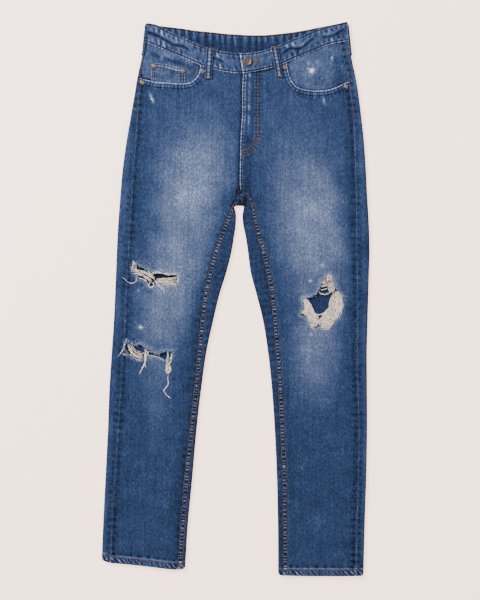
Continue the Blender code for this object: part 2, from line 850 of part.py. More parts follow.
def waistband(place):
    """The band: from the lapping end round the right side, the back and the left side."""
    left, right = BAND_ENDS
    first, last = left + BAND_LAY / 2 + 2.0, right - BAND_LAY / 2 - 2.0
    back_count = 34
    pucker_step = (last - first) / back_count

    def lapping(x, share):
        return band_lay(x, share, True)

    def lying_under(x, share):
        return band_lay(x, share, False)

    def level(x, share):
        return 0.0

    def puckered(x, share):
        raised = 0.0 if round(x / pucker_step) % 2 else BAND_PUCKER
        over_loop = 1.0 - soft_step((abs(x - BAND_CENTRE_X) - 24.0) / 14.0)
        return max(raised, SEAT_RAISE * over_loop)

    columns = []
    lap_count = 14
    for i in range(lap_count + 1):
        end = LAP_SLANT * (1.0 - soft_step(i / 3.0))
        columns.append(band_column(blend(LAP_START_X, last, i / lap_count), lapping, False, end))
    columns += band_fold(right, 1.0)
    for i in range(back_count + 1):
        height = level if min(i, back_count - i) < 2 else puckered
        columns.append(band_column(blend(last, first, i / back_count), height, True))
    columns += band_fold(left, -1.0)
    under_count = 16
    for i in range(under_count + 1):
        x = blend(first, LAP_END_X, i / under_count)
        columns.append(band_column(x, lying_under, False))
    grid = [list(line) for line in zip(*columns)]
    wall("waistband", grid, BAND_CLOTH, material("denim"), place, flip=True)


def facing_height(side, x, y):
    """Outer face of a pocket facing: flush at the waist, tucked under the front's edge."""
    path = POCKET_CURVES[side][1:]
    below = y < pocket_y(side, x)
    away = -1.0 if below else near_path(path, x, y)
    drop = FACING_DROP[side] * (1.0 - soft_step((away - 5.0) / 12.0))
    return lay(side, x, y) - drop


def pocket_y(side, x):
    """The pocket opening's edge at one x."""
    path = sorted(POCKET_CURVES[side][1:])
    if x <= path[0][0] or x >= path[-1][0]:
        return 600.0
    for (x0, y0), (x1, y1) in zip(path, path[1:]):
        if x0 <= x <= x1:
            return blend(y0, y1, (x - x0) / (x1 - x0))
    return 600.0


def pocket_facing(side, place):
    """The denim that shows in a front pocket's opening, from the waist to under the edge."""
    columns, rows = 14, 8
    inward = 1.0 if side == "left" else -1.0
    grid = []
    for j in range(rows + 1):
        line = []
        for i in range(columns + 1):
            share = i / columns if side == "left" else 1.0 - i / columns

            def y_at(x):
                low = read(FACING_LOWER[side], 1, x)
                return blend(front_low(x) - WAIST_GAP, low, j / rows)

            def x_at(y):
                return blend(outseam(side, y) + inward * SEAM_GAP, FACING_ENDS[side], share)

            x, y = settled(x_at, y_at, 450.0)
            line.append((x, y, facing_height(side, x, y)))
        grid.append(line)
    return wall("pocket_facing_" + side, grid, DENIM, material("denim_faded"), place)


def coin_height(x, y):
    return facing_height("left", x, y) + DENIM + REST_GAP + 0.2


def coin_pocket(place):
    """The small pocket on the left facing; its lower end lies under the front's edge."""
    columns, rows = 10, 6
    grid = []
    for j in range(rows + 1):
        line = []
        for i in range(columns + 1):
            x = blend(COIN_TOP[0][0], COIN_TOP[-1][0], i / columns)
            y = blend(read(COIN_TOP, 1, x), COIN_LOWER_Y, j / rows)
            line.append((x, y, coin_height(x, y)))
        grid.append(line)
    return wall("coin_pocket", grid, DENIM, material("denim_faded"), place)


def back_pocket(side, place):
    """A back pocket, under the back panel: the garment rests on it."""
    cx, cy = BACK_POCKET_CENTRES[side]
    outline = [(cx + x, cy + y) for x, y in BACK_POCKET]
    piece = outline_solid("back_pocket_" + side, outline, 0.0, DENIM, place)
    piece.data.materials.append(material("denim"))
    return piece


def front_loop(side, place):
    """A belt loop: an arched strip over the band, tacked at its ends."""
    (x0, y0), (x1, y1) = FRONT_LOOPS[side]
    steps = 10
    grid = []
    for j in range(steps + 1):
        along = j / steps
        cx, cy = blend(x0, x1, along), blend(y0, y1, along)
        seam = front_low(cx)
        on_band = soft_step((cy - seam + 9.0) / 8.0)
        base = blend(LAY, band_lay(cx - LOOP_WIDTH / 2, 0.0, side == "right"), on_band)
        z = base + REST_GAP + LOOP_CLOTH + LOOP_ARCH * math.sin(math.pi * along) ** 0.7 + 0.2
        line = []
        for i in (-1.0, 0.0, 1.0):
            line.append((cx + i * LOOP_WIDTH / 2, cy, z + (0.25 if i == 0.0 else 0.0)))
        grid.append(line)
    return wall("belt_loop_front_" + side, grid, LOOP_CLOTH, material("denim"), place)


def side_loop(side, place):
    """A belt loop that rolls over the side fold of the band."""
    out = -1.0 if side == "left" else 1.0
    steps = 8
    reach = REST_GAP + 0.35 + LOOP_CLOTH
    grid = []
    for j in range(steps + 1):
        along = j / steps
        y = blend(522.0, 522.0 - LOOP_LENGTH, along)
        on_band = soft_step((y - 474.0) / 8.0)
        edge = blend(outer_edge(side, y), band_edge(side, y), on_band)
        radius = blend(LAY, BAND_LAY, on_band) / 2
        line = []
        for i in range(5):
            angle = math.radians(blend(-16.0, 92.0, i / 4))
            x = edge - out * radius + out * (radius + reach) * math.cos(angle)
            line.append((x, y, radius + (radius + reach) * math.sin(angle)))
        inner_x = line[-1][0] - out * 3.0
        line.append((inner_x, y, line[-1][2]))
        grid.append(line)
    flip = side == "right"
    return wall("belt_loop_side_" + side, grid, LOOP_CLOTH, material("denim"), place, flip)


def band_edge(side, y):
    """The band's outer edge beside the side fold."""
    low, high = (-174.0, -170.0) if side == "left" else (217.0, 213.0)
    return blend(low, high, (y - 488.0) / 36.0)


def back_loop(place):
    """The middle back belt loop, plain because it lies under the band."""
    top = 501.0
    low = top - LOOP_LENGTH
    left, right = BAND_CENTRE_X - LOOP_WIDTH / 2, BAND_CENTRE_X + LOOP_WIDTH / 2
    outline = [(left, low), (right, low), (right, top), (left, top)]
    piece = outline_solid("belt_loop_back", outline, 0.0, DENIM, place)
    piece.data.materials.append(material("denim"))


def turned(name, profile, x, y, z, finish, place):
    """A round metal part: a profile of radius and height, turned round its middle."""
    mesh = bpy.data.meshes.new(name)
    shape = bmesh.new()
    points = [shape.verts.new((radius * MM, 0.0, height * MM)) for radius, height in profile]
    for a, b in zip(points, points[1:]):
        shape.edges.new((a, b))
    shape.to_mesh(mesh)
    shape.free()
    piece = add_object(name, mesh, finish, place)
    screw = piece.modifiers.new("Turn", "SCREW")
    screw.steps = 16
    screw.render_steps = 16
    screw.use_merge_vertices = True
    screw.merge_threshold = 0.00001
    piece.location = (x * MM, y * MM, z * MM)
    return piece


def rivet(name, x, y, seat, place):
    side = "left" if x < 20 else "right"
    high = 0.0
    for step in range(9):
        angle = math.tau * step / 8
        reach = RIVET_RADIUS if step else 0.0
        px, py = x + reach * math.cos(angle), y + reach * math.sin(angle)
        under = coin_height(px, py) if seat == "coin" else lay(side, px, py)
        if seat == "panel" and side == "right":
            under += fly_rise(px, py)
        high = max(high, under)
    r, h = RIVET_RADIUS, RIVET_HEIGHT
    profile = (
        (0, h), (0.45 * r, 0.95 * h), (0.62 * r, 0.6 * h), (0.9 * r, 0.5 * h), (r, 0.2 * h),
        (r, 0), (0, 0),
    )
    turned(name, profile, x, y, high + REST_GAP, material("brass", 1.0, 0.35), place)


def button(place):
    x, y = BUTTON_XY
    r, h = BUTTON_RADIUS, BUTTON_HEIGHT
    profile = (
        (0, 0.8 * h), (0.66 * r, 0.78 * h), (0.76 * r, h), (0.92 * r, 0.92 * h), (r, 0.6 * h),
        (0.96 * r, 0.35 * h), (0.5 * r, 0.3 * h), (0.45 * r, 0), (0, 0),
    )
    seat = max(band_lay(x + dx, 0.5, True) for dx in (-5.0, 0.0, 5.0))
    turned("button", profile, x, y, seat + REST_GAP, material("brass", 1.0, 0.35), place)


def thread_node(name, strip, strands, cutters, place):
    """A backing strip with its threads, joined into one piece at their roots."""
    backing = tube(name, strip, STRIP_RADIUS, place)
    backing.data.materials.append(material("thread"))
    threads = group(name + "_threads", hidden=True)
    cutters.children.link(threads)
    bpy.context.scene.collection.children.unlink(threads)
    for i, points in enumerate(strands):
        strand = tube(f"{name}_strand_{i}", points, THREAD_RADIUS, threads)
        strand.hide_render = True
        strand.display_type = "WIRE"
    fuse = backing.modifiers.new("Fuse roots", "BOOLEAN")
    fuse.operation = "UNION"
    fuse.solver = "EXACT"
    fuse.operand_type = "COLLECTION"
    fuse.collection = threads


def on_line(line, share):
    """A point along a list of points, by share of its count."""
    at = share * (len(line) - 1)
    i = min(int(at), len(line) - 2)
    return tuple(blend(a, b, at - i) for a, b in zip(line[i], line[i + 1]))


def rip_threads(cutters, place):
    steps = 5
    for name, row in THREAD_ROWS.items():
        strands = []
        for k, lane in enumerate(row["lanes"]):
            points = []
            for i in range(steps + 1):
                share = i / steps
                x0, y0 = on_line(row["first"], share)
                x1, y1 = on_line(row["second"], share)
                (height,) = on_line([(h,) for h in row["heights"]], share)
                height += 0.35 * math.sin(2.1 * k) * math.sin(math.pi * share)
                points.append((blend(x0, x1, lane), blend(y0, y1, lane), height))
            points[0] = (*on_line(row["strip"], lane), row["heights"][0])
            strands.append(points)
        strip = [(x, y, row["heights"][0]) for x, y in row["strip"]]
        thread_node(name, strip, strands, cutters, place)


def hanging_threads(cutters, place):
    root_height = 5.4
    on_leg = LAY + 1.6
    for name, row in HANGING_THREADS.items():
        strands = []
        for route in row["routes"]:
            points = []
            for i, (x, y) in enumerate(route):
                rest = max(lay("left", x + dx, y) for dx in (-2, 0, 2)) + 0.9 + THREAD_RADIUS
                z = root_height if i == 0 else (on_leg if i == 1 else min(rest, on_leg))
                points.append((x, y, z))
            root = (len(strands) + 0.5) / len(row["routes"])
            points[0] = (*on_line(row["strip"], root), root_height)
            strands.append(points)
        strip = [(x, y, root_height) for x, y in row["strip"]]
        thread_node(name, strip, strands, cutters, place)


def build():
    for old in list(bpy.data.objects):
        bpy.data.objects.remove(old)
    garment = group("ripped_jeans")
    cutters = group("cutters", hidden=True)
    for side in ("left", "right"):
        front_panel(side, garment, cutters)
        back_pieces(side, garment)
        pocket_facing(side, garment)
        back_pocket(side, garment)
        front_loop(side, garment)
        side_loop(side, garment)
    waistband(garment)
    coin_pocket(garment)
    back_loop(garment)
    button(garment)
    for name, (x, y, seat) in RIVETS.items():
        rivet(name, x, y, seat, garment)
    rip_threads(cutters, garment)
    hanging_threads(cutters, garment)


build()
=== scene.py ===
# %% [markdown]
# # Ripped jeans, laid flat
# A pair of worn five-pocket jeans lies front side up on a pale surface. The frame holds the
# real solids, so this file only gives them their looks: finer cloth on the same forms, the
# fades and wear, the sewing, the loose threads and the metal. It is written as a lesson: each
# step says what the real piece is, how it could be made in Blender and why this way was chosen.

# %% Load the fixed frame
import math

import bmesh
import bpy
import numpy as np
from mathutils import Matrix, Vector
from mathutils.bvhtree import BVHTree


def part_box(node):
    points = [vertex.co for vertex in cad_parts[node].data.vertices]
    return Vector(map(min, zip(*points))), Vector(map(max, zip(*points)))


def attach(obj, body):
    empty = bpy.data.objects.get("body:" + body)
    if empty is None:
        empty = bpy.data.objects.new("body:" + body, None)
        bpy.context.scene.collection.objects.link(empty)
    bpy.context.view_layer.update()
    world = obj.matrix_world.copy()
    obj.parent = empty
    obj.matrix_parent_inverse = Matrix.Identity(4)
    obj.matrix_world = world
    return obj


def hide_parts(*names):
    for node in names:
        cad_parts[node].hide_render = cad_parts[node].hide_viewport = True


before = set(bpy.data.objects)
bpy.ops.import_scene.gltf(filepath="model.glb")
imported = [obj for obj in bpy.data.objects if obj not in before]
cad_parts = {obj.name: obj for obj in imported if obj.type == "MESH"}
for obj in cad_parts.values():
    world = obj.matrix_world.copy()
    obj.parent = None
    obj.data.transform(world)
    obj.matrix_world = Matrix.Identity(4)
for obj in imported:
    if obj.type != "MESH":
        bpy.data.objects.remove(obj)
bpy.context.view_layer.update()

MM = 0.001

# %% [markdown]
# ## Sizes of the garment
# A pattern maker works from a few lines: the side seams, the inseams, the fly, the waist and
# the hem. The tables below hold those lines in millimetres, as the solids do. x runs across,
# y towards the waist. Reading a table with a smooth curve gives every panel its edge, so the
# cloth here lands exactly on the solids' own seams.

# %% Cloth and lay sizes, in millimetres
# Thickness of the cloth and of the turned-up hem, and the hem's depth
DENIM = 1.1
HEM_CLOTH = 2.4
HEM_DEPTH = 11.8
# Gaps at the seams, and under a piece that rests on another
SEAM_GAP = 0.4
WAIST_GAP = 0.7
REST_GAP = 0.35
# Height of a laid leg, and how far its top layer sags between the seams
LAY = 6.4
SAG = 1.1
# Where the parts meet, and how far the yoke dips at the centre back
WAIST_Y = 488
YOKE_Y = 424
YOKE_DIP = 22
CROTCH_Y = 200.6
BAND_HEIGHT = 36
# The fly's width, how far it stands up, and how far the left front reaches under it
FLY_WIDTH = 23
FLY_RAISE = 1.8
FLY_UNDERLAP = 13
# Which way is outwards on each leg
OUT = {"left": -1, "right": 1}
print("a laid leg is", LAY, "mm high, and its cloth", DENIM, "mm thick")

# %% Lines of the pattern, in millimetres
# y, outer edge, outseam
SIDE_LINES = {
    "left": (
        (488, -172, -167), (470, -176, -171), (450, -180.5, -175.5),
        (420, -187, -180.5), (390, -192, -184), (350, -199, -187),
        (300, -207.5, -190.5), (250, -214.5, -194.5), (200, -219, -198),
        (140, -223.5, -201.5), (90, -226, -204.5), (50, -227.5, -207),
        (-40, -231.5, -211), (-100, -235.5, -214.5), (-170, -240, -219),
        (-250, -243, -224), (-340, -247.5, -230), (-430, -252, -235.5),
        (-520, -255.5, -239),
    ),
    "right": (
        (488, 216, 198), (470, 219, 201.5), (450, 222.5, 206),
        (420, 229, 213.5), (390, 234, 218.5), (350, 239, 223),
        (300, 244.5, 225.5), (250, 248, 227), (200, 250.5, 228.5),
        (140, 254, 229.2), (90, 255, 229.6), (50, 254, 230.3),
        (-40, 251.5, 230.8), (-100, 250, 230.8), (-170, 250.3, 232),
        (-250, 250.5, 234), (-340, 249, 232.5), (-430, 246, 230),
        (-530, 243.5, 228.5),
    ),
}
# y, inseam, inner edge
INNER_LINES = {
    "left": (
        (160, -14.5, 1.2), (140, -23, 0.6), (120, -31, -2.5), (90, -42, -7.5), (50, -52.5, -17.5),
        (10, -61, -30), (-40, -67, -42), (-100, -72.5, -55), (-170, -79, -65),
        (-250, -88, -74), (-340, -98, -82), (-430, -105, -90.5), (-520, -111, -96),
    ),
    "right": (
        (160, 31.8, 12.9), (140, 35, 14.5), (120, 40.5, 19), (90, 49, 23.5), (50, 58, 29),
        (10, 65.5, 39.5), (-40, 71, 52), (-100, 75.5, 61.5), (-170, 80.5, 69),
        (-250, 84.5, 74.5), (-340, 88, 78.5), (-430, 89.3, 80.5), (-530, 90, 81),
    ),
}
# row y, seam x, fold x, fold y, and the direction that the fold faces
CROTCH_ROWS = {
    "left": (
        (200.6, 9.5, 9.76, 177, 0, -1), (196, 4.6, 5, 177.3, 0, -1),
        (190, 1, 0.6, 177, 0.15, -0.99), (185, -2, -2.2, 175.6, 0.7, -0.71),
        (177, -6, -1.2, 171.5, 0.98, 0.2), (169, -10, 0.4, 166, 1, 0.1),
        (160, -14.5, 1.2, 159, 1, 0), (150, -18.8, 1.1, 149.5, 1, 0),
    ),
    "right": (
        (200.6, 10.1, 9.84, 177, 0, -1), (196, 21, 13, 177.2, 0, -1),
        (190, 25, 16.2, 175.8, -0.7, -0.71), (185, 27.3, 15.3, 171.5, -0.98, 0.2),
        (177, 29.5, 14.2, 167, -1, 0.1), (169, 30.8, 13.3, 162, -1, 0),
        (160, 31.8, 12.9, 156, -1, 0), (150, 33.2, 13.4, 148.5, -1, 0),
    ),
}
FLY_LINE = (
    (445, 12.5), (426, 14), (400, 13), (350, 12.6), (320, 10.6), (290, 9.2),
    (250, 8.6), (222, 8.2), (200.6, 9.8),
)
# x, front top edge, front lower seam, back top edge
WAIST_LINES = (
    (-173, 525, 489, 525), (-150, 521, 480, 521), (-134, 512, 473, 518.5),
    (-115, 503, 465, 516.5), (-96, 495, 457, 514), (-77, 486, 449, 511),
    (-58, 479, 441, 509), (-37, 473, 435.5, 507), (-20, 469, 432, 505), (7, 466, 429, 503),
    (28, 467, 430.5, 502), (47, 470, 434, 502), (66, 476, 438.5, 503), (85, 483, 445, 505),
    (104, 492, 453, 507), (123, 499, 461, 510), (142, 507, 469, 513.5), (161, 514, 477, 517.5),
    (180, 519.5, 484, 521), (216, 528, 491, 528),
)
# row y, share of the waist slope, share of the yoke's dip
SLOPES = (
    (488, 1, 0), (468, 0.8, 0.3), (446, 0.58, 0.65), (424, 0.36, 1), (402, 0.16, 0.75),
    (380, 0, 0.5), (356, 0, 0.25), (330, 0, 0), (300, 0, 0),
)
HEM_LINES = {
    "left": ((-256, -496), (-240, -501), (-210, -504), (-164, -509), (-119, -514), (-96, -513)),
    "right": ((81, -525), (123, -526.5), (190, -527), (244, -526)),
}
HEM_REFERENCE = {"left": -508, "right": -526}
HEM_SLOPE_START = -300
POCKET_CURVES = {
    "left": (
        (-66.5, 452), (-67, 439), (-69, 429), (-74, 421), (-80, 415), (-86, 411.5),
        (-96, 409.5), (-115, 409.5), (-134, 411), (-153, 412), (-170, 416.5), (-192, 422),
    ),
    "right": (
        (97.5, 462), (98, 444), (100, 433), (103, 422), (107, 413), (114, 404.5),
        (123, 400), (136, 397), (152, 395.5), (168, 396), (181, 398.5), (193, 403),
        (205, 409), (238, 423),
    ),
}
print("pattern lines for", ", ".join(SIDE_LINES))

# %% [markdown]
# ## Folds and creases
# Cloth that has been worn and laid down keeps soft hollows and ridges. Simulating them would
# give other folds on every run, so the main ones are listed: each is a line with a width and a
# height, uneven as in the photo. The large ones are also in the solids; the small
# ones, on both sides of the garment, are only here.

# %% Fold tables: start x, start y, end x, end y, half width, height
LARGE_FOLDS = (
    (-185, -128, -112, -138, 13, 1), (-200, 18, -112, -6, 10, -0.7),
    (-200, 98, -120, 92, 12, 0.6), (-20, 182, -100, 140, 12, -0.7),
    (-15, 232, -95, 244, 14, -0.6), (-60, 378, -22, 322, 13, 0.7),
    (-150, 330, -70, 300, 16, -0.5), (-228, -300, -130, -318, 12, 0.6),
    (-232, -402, -132, -424, 12, -0.7), (92, 67, 150, 66, 7, -0.7),
    (102, -88, 172, -82, 7, -0.8), (40, 184, 118, 150, 12, -0.7),
    (30, 238, 104, 252, 14, -0.6), (100, 378, 55, 322, 13, 0.7),
    (190, 330, 110, 300, 16, -0.5), (104, -205, 212, -190, 13, 0.7),
    (104, -332, 216, -350, 12, -0.6), (104, -430, 212, -420, 12, 0.6),
)
SMALL_FOLDS = (
    (-205, -190, -150, -196, 6, -0.45), (-95, -212, -150, -222, 6, 0.4),
    (-232, -255, -180, -248, 6, 0.4), (-112, -362, -168, -372, 6, -0.4),
    (-236, -452, -190, -460, 6, -0.45), (-118, -466, -160, -458, 5, 0.4),
    (-30, 205, -70, 196, 6, 0.5), (-26, 262, -64, 270, 7, 0.4),
    (-150, 150, -110, 158, 8, -0.35), (-206, 206, -170, 196, 7, 0.4),
    (28, 206, 70, 192, 6, 0.5), (26, 262, 62, 274, 7, 0.4),
    (150, 150, 190, 160, 8, -0.35), (222, 208, 190, 196, 7, 0.4),
    (96, -128, 140, -134, 6, 0.4), (226, -150, 180, -142, 6, -0.4),
    (98, -262, 140, -270, 6, -0.4), (226, -292, 184, -300, 6, 0.45),
    (100, -388, 150, -380, 6, 0.4), (224, -470, 176, -478, 6, -0.4),
    (176, 62, 214, 56, 5, 0.4), (90, 20, 122, 14, 5, -0.4),
)
# On the underside
BACK_FOLDS = (
    (-170, 120, -90, 100, 9, 0.5), (-190, 20, -110, 34, 10, 0.55), (-200, -60, -120, -44, 8, 0.4),
    (-200, -200, -140, -186, 9, 0.5), (-220, -330, -150, -344, 8, 0.45),
    (-90, 180, -20, 150, 9, 0.5), (150, 110, 210, 126, 9, 0.5), (110, 30, 190, 14, 10, 0.55),
    (120, -70, 200, -82, 8, 0.4), (110, -210, 200, -196, 9, 0.5), (110, -360, 200, -346, 8, 0.45),
    (40, 170, 100, 150, 9, 0.5), (-150, 205, -60, 212, 8, 0.4), (70, 208, 170, 204, 8, 0.4),
)
print("folds on top and underneath:", len(LARGE_FOLDS + SMALL_FOLDS), len(BACK_FOLDS))

# %% Soft steps, and smooth reading of tables
def soft_step(share):
    """0 to 1 with level ends."""
    share = np.clip(share, 0, 1)
    return share * share * (3 - 2 * share)


def blend(a, b, share):
    return a + (b - a) * share


def bump(distance, width):
    """1 at no distance, falling softly to 0 past the width."""
    return np.exp(-((distance / width) ** 2))


def read(table, column, at):
    """A column of a table, read along its first column with a smooth curve."""
    rows = np.array(sorted(table), float)
    keys, values = rows[:, 0], rows[:, column]
    low = np.maximum(np.arange(len(keys)) - 1, 0)
    high = np.minimum(np.arange(len(keys)) + 1, len(keys) - 1)
    slopes = (values[high] - values[low]) / (keys[high] - keys[low])
    at = np.clip(at, keys[0], keys[-1])
    i = np.clip(np.searchsorted(keys, at, side="right") - 1, 0, len(keys) - 2)
    span = keys[i + 1] - keys[i]
    t = (at - keys[i]) / span
    start = (2 * t**3 - 3 * t**2 + 1) * values[i] + (t**3 - 2 * t**2 + t) * span * slopes[i]
    end = (3 * t**2 - 2 * t**3) * values[i + 1] + (t**3 - t**2) * span * slopes[i + 1]
    return start + end


def straight(table, column, at):
    """A column of a table, read along its first column with straight stretches."""
    rows = np.array(sorted(table), float)
    return np.interp(at, rows[:, 0], rows[:, column])


print("a soft step half way:", float(soft_step(0.5)))

# %% Uneven waves and patches, the same on every run
def ripple(run, wavelength, seed):
    """Uneven waves along a length, between about -1 and 1, the same on every run."""
    draws = np.random.default_rng(seed)
    total = 0
    for _ in range(5):
        length = wavelength * draws.uniform(0.7, 1.5)
        total = total + np.sin(math.tau * (run / length + draws.uniform(0, 1)))
    return total / 2.4


def cloudy(x, y, size, seed):
    """Uneven patches over a surface, between about -1 and 1."""
    draws = np.random.default_rng(seed)
    total = 0
    for _ in range(7):
        turn = draws.uniform(0, math.tau)
        length = size * draws.uniform(0.6, 1.6)
        along = x * math.cos(turn) + y * math.sin(turn)
        total = total + np.sin(math.tau * (along / length + draws.uniform(0, 1)))
    return total / 2.8


print("a wave at its start:", round(float(ripple(0, 10, 21)), 2))

# %% Distances from points to paths
def nearest(x, y, path):
    """Distance from points to a path, how far along it they are, and its nearest points."""
    best = np.full(np.shape(x), 1e6)
    run, near_x, near_y = 0 * best, 0 * best, 0 * best
    gone = 0
    for (x0, y0), (x1, y1) in zip(path, path[1:]):
        length = math.hypot(x1 - x0, y1 - y0)
        if length < 1e-6:
            continue
        along = ((x - x0) * (x1 - x0) + (y - y0) * (y1 - y0)) / length**2
        along = np.clip(along, 0, 1)
        spot_x, spot_y = blend(x0, x1, along), blend(y0, y1, along)
        away = np.hypot(x - spot_x, y - spot_y)
        closer = away < best
        best = np.where(closer, away, best)
        run = np.where(closer, gone + along * length, run)
        near_x, near_y = np.where(closer, spot_x, near_x), np.where(closer, spot_y, near_y)
        gone += length
    return best, run, near_x, near_y


def near_path(x, y, path):
    return nearest(x, y, path)[:2]


def near_line(x, y, x0, y0, x1, y1):
    return nearest(x, y, ((x0, y0), (x1, y1)))[0]


def folded(table, x, y, narrow=1):
    """Height of the hollows and ridges of a table of folds."""
    height = 0
    for x0, y0, x1, y1, width, rise in table:
        height = height + rise * bump(near_line(x, y, x0, y0, x1, y1), narrow * width)
    return height


print("from a corner to a square's diagonal:", round(float(near_line(0, 1, 0, 0, 1, 1)), 3))

# %% Insides, and where rows and columns cross
def inside(x, y, outline):
    """Whether points lie inside a closed outline."""
    found = np.zeros(np.shape(x), bool)
    for (x0, y0), (x1, y1) in zip(outline, outline[1:] + outline[:1]):
        crosses = (y0 > y) != (y1 > y)
        at = x0 + (y - y0) * (x1 - x0) / (y1 - y0 if y1 != y0 else 1e-9)
        found ^= crosses & (x < at)
    return found


def grid(rows, columns):
    """Every row value crossed with every column value, as two tables."""
    return np.meshgrid(rows, columns, indexing="ij")


def settled(x_of_y, y_of_x, y):
    """Where columns and rows meet, found by a few turns of one then the other."""
    for _ in range(6):
        x = x_of_y(y)
        y = y_of_x(x)
    return x, y


print("the middle is inside:", bool(inside(0.5, 0.5, ((0, 0), (1, 0), (1, 1), (0, 1)))))

# %% The garment's seams as functions
def centre_back(y):
    return blend(9.8, 20, (y - CROTCH_Y) / 300)


def front_low(x):
    return read(WAIST_LINES, 2, x)


def back_low(x):
    return read(WAIST_LINES, 3, x) - BAND_HEIGHT


def outer_edge(side, y):
    return read(SIDE_LINES[side], 1, y)


def outseam(side, y):
    return read(SIDE_LINES[side], 2, y)


def inseam(side, y):
    seam_rows = tuple((row[0], row[1]) for row in CROTCH_ROWS[side])
    leg_rows = tuple((row[0], row[1]) for row in INNER_LINES[side] if row[0] < 145)
    return read(seam_rows + leg_rows, 1, y)


def underlap(y):
    """How far the left front reaches under the fly."""
    width = blend(7, FLY_UNDERLAP, soft_step((y - 270) / 40))
    return width * soft_step((y - 218) / 14)


def front_inner(side, y):
    """The centre line or inseam edge of a front panel."""
    return np.where(y < CROTCH_Y - 0.1, inseam(side, y), read(FLY_LINE, 1, y))


crotch_width = float(inseam("right", 150) - inseam("left", 150))
print("crotch width between the inseams, mm:", round(crotch_width, 1))

# %% Height of the laid cloth
def fly_rise(x, y):
    """How far the right front stands up where it laps over the left one, with its zip."""
    away = x - read(FLY_LINE, 1, y)
    width = blend(11, FLY_WIDTH, soft_step((y - 270) / 40))
    flat = 1 - soft_step((away - width) / 12)
    zip_line = 0.7 * bump(away - 8, 3.5) * soft_step((y - 300) / 30)
    return (FLY_RAISE * flat + zip_line) * soft_step((y - 204) / 6)


def lay(side, x, y):
    """Height of the outer face of the top layer of cloth."""
    seam, inner = outseam(side, y), front_inner(side, y)
    share = np.clip((x - inner) / (seam - inner), 0, 1)
    slack = 1 - 0.5 * soft_step((y - 160) / 60) - 0.5 * soft_step((y - 330) / 50)
    height = LAY - SAG * slack * np.sin(math.pi * share) ** 2
    loose = 1 - soft_step((y - 360) / 30)
    return height + loose * folded(LARGE_FOLDS, x, y)


print("left knee, mm high:", round(float(lay("left", -150, -100)), 2))

# %% [markdown]
# ## Denim colour
# Indigo only dyes the outside of the warp yarns. Wear takes it off, so the same cloth runs
# from near navy in the seams to a milky grey-blue on the thighs. Painting that on an image
# would tie it to one picture. Here each point of the cloth carries one number, its tone, and
# the material turns tone into colour. Fades and worn edges add to that number, and so does
# the painted shade and light of creases.

# %% Colours
def linear(code):
    """A colour code such as 3E5A82 as linear red, green and blue."""
    values = [int(code[i : i + 2], 16) / 255 for i in (0, 2, 4)]
    return [v / 12.92 if v <= 0.04045 else ((v + 0.055) / 1.055) ** 2.4 for v in values]


# tone and colour, from seams soaked in indigo and painted shade to bare white weft
INDIGO = (
    (0, "03071C"), (0.12, "0B1830"), (0.2, "14233F"), (0.28, "1B2C4D"), (0.36, "243658"),
    (0.44, "324060"), (0.54, "414E6C"), (0.64, "525D79"), (0.76, "6B7896"), (0.88, "959BB8"),
    (1, "D7C7D4"),
)
print("indigo steps:", len(INDIGO))

# %% One helper for every node
def node(tree, kind, settings=(), stops=(), **inputs):
    """A node with its settings and colour steps, each input given a value or linked to a socket."""
    made = tree.nodes.new(kind)
    for name, value in dict(settings).items():
        setattr(made, name, value)
    for name, value in inputs.items():
        slot = int(name[1:]) if name[0] == "i" and name[1:].isdigit() else name.replace("_", " ")
        socket = made.inputs[slot]
        if isinstance(value, bpy.types.NodeSocket):
            tree.links.new(value, socket)
        else:
            socket.default_value = value
    for at, _ in stops[1:-1]:
        made.color_ramp.elements.new(at)
    if stops:
        for element, (at, code) in zip(made.color_ramp.elements, stops):
            element.position = at
            element.color = (*linear(code), 1)
    return made


def material(name, roughness=0.9, metallic=0):
    """A new material, its node tree and its shader."""
    made = bpy.data.materials.new(name)
    made.use_nodes = True
    shader = made.node_tree.nodes["Principled BSDF"]
    shader.inputs["Roughness"].default_value = roughness
    shader.inputs["Metallic"].default_value = metallic
    return made, made.node_tree, shader


print("node helpers ready")
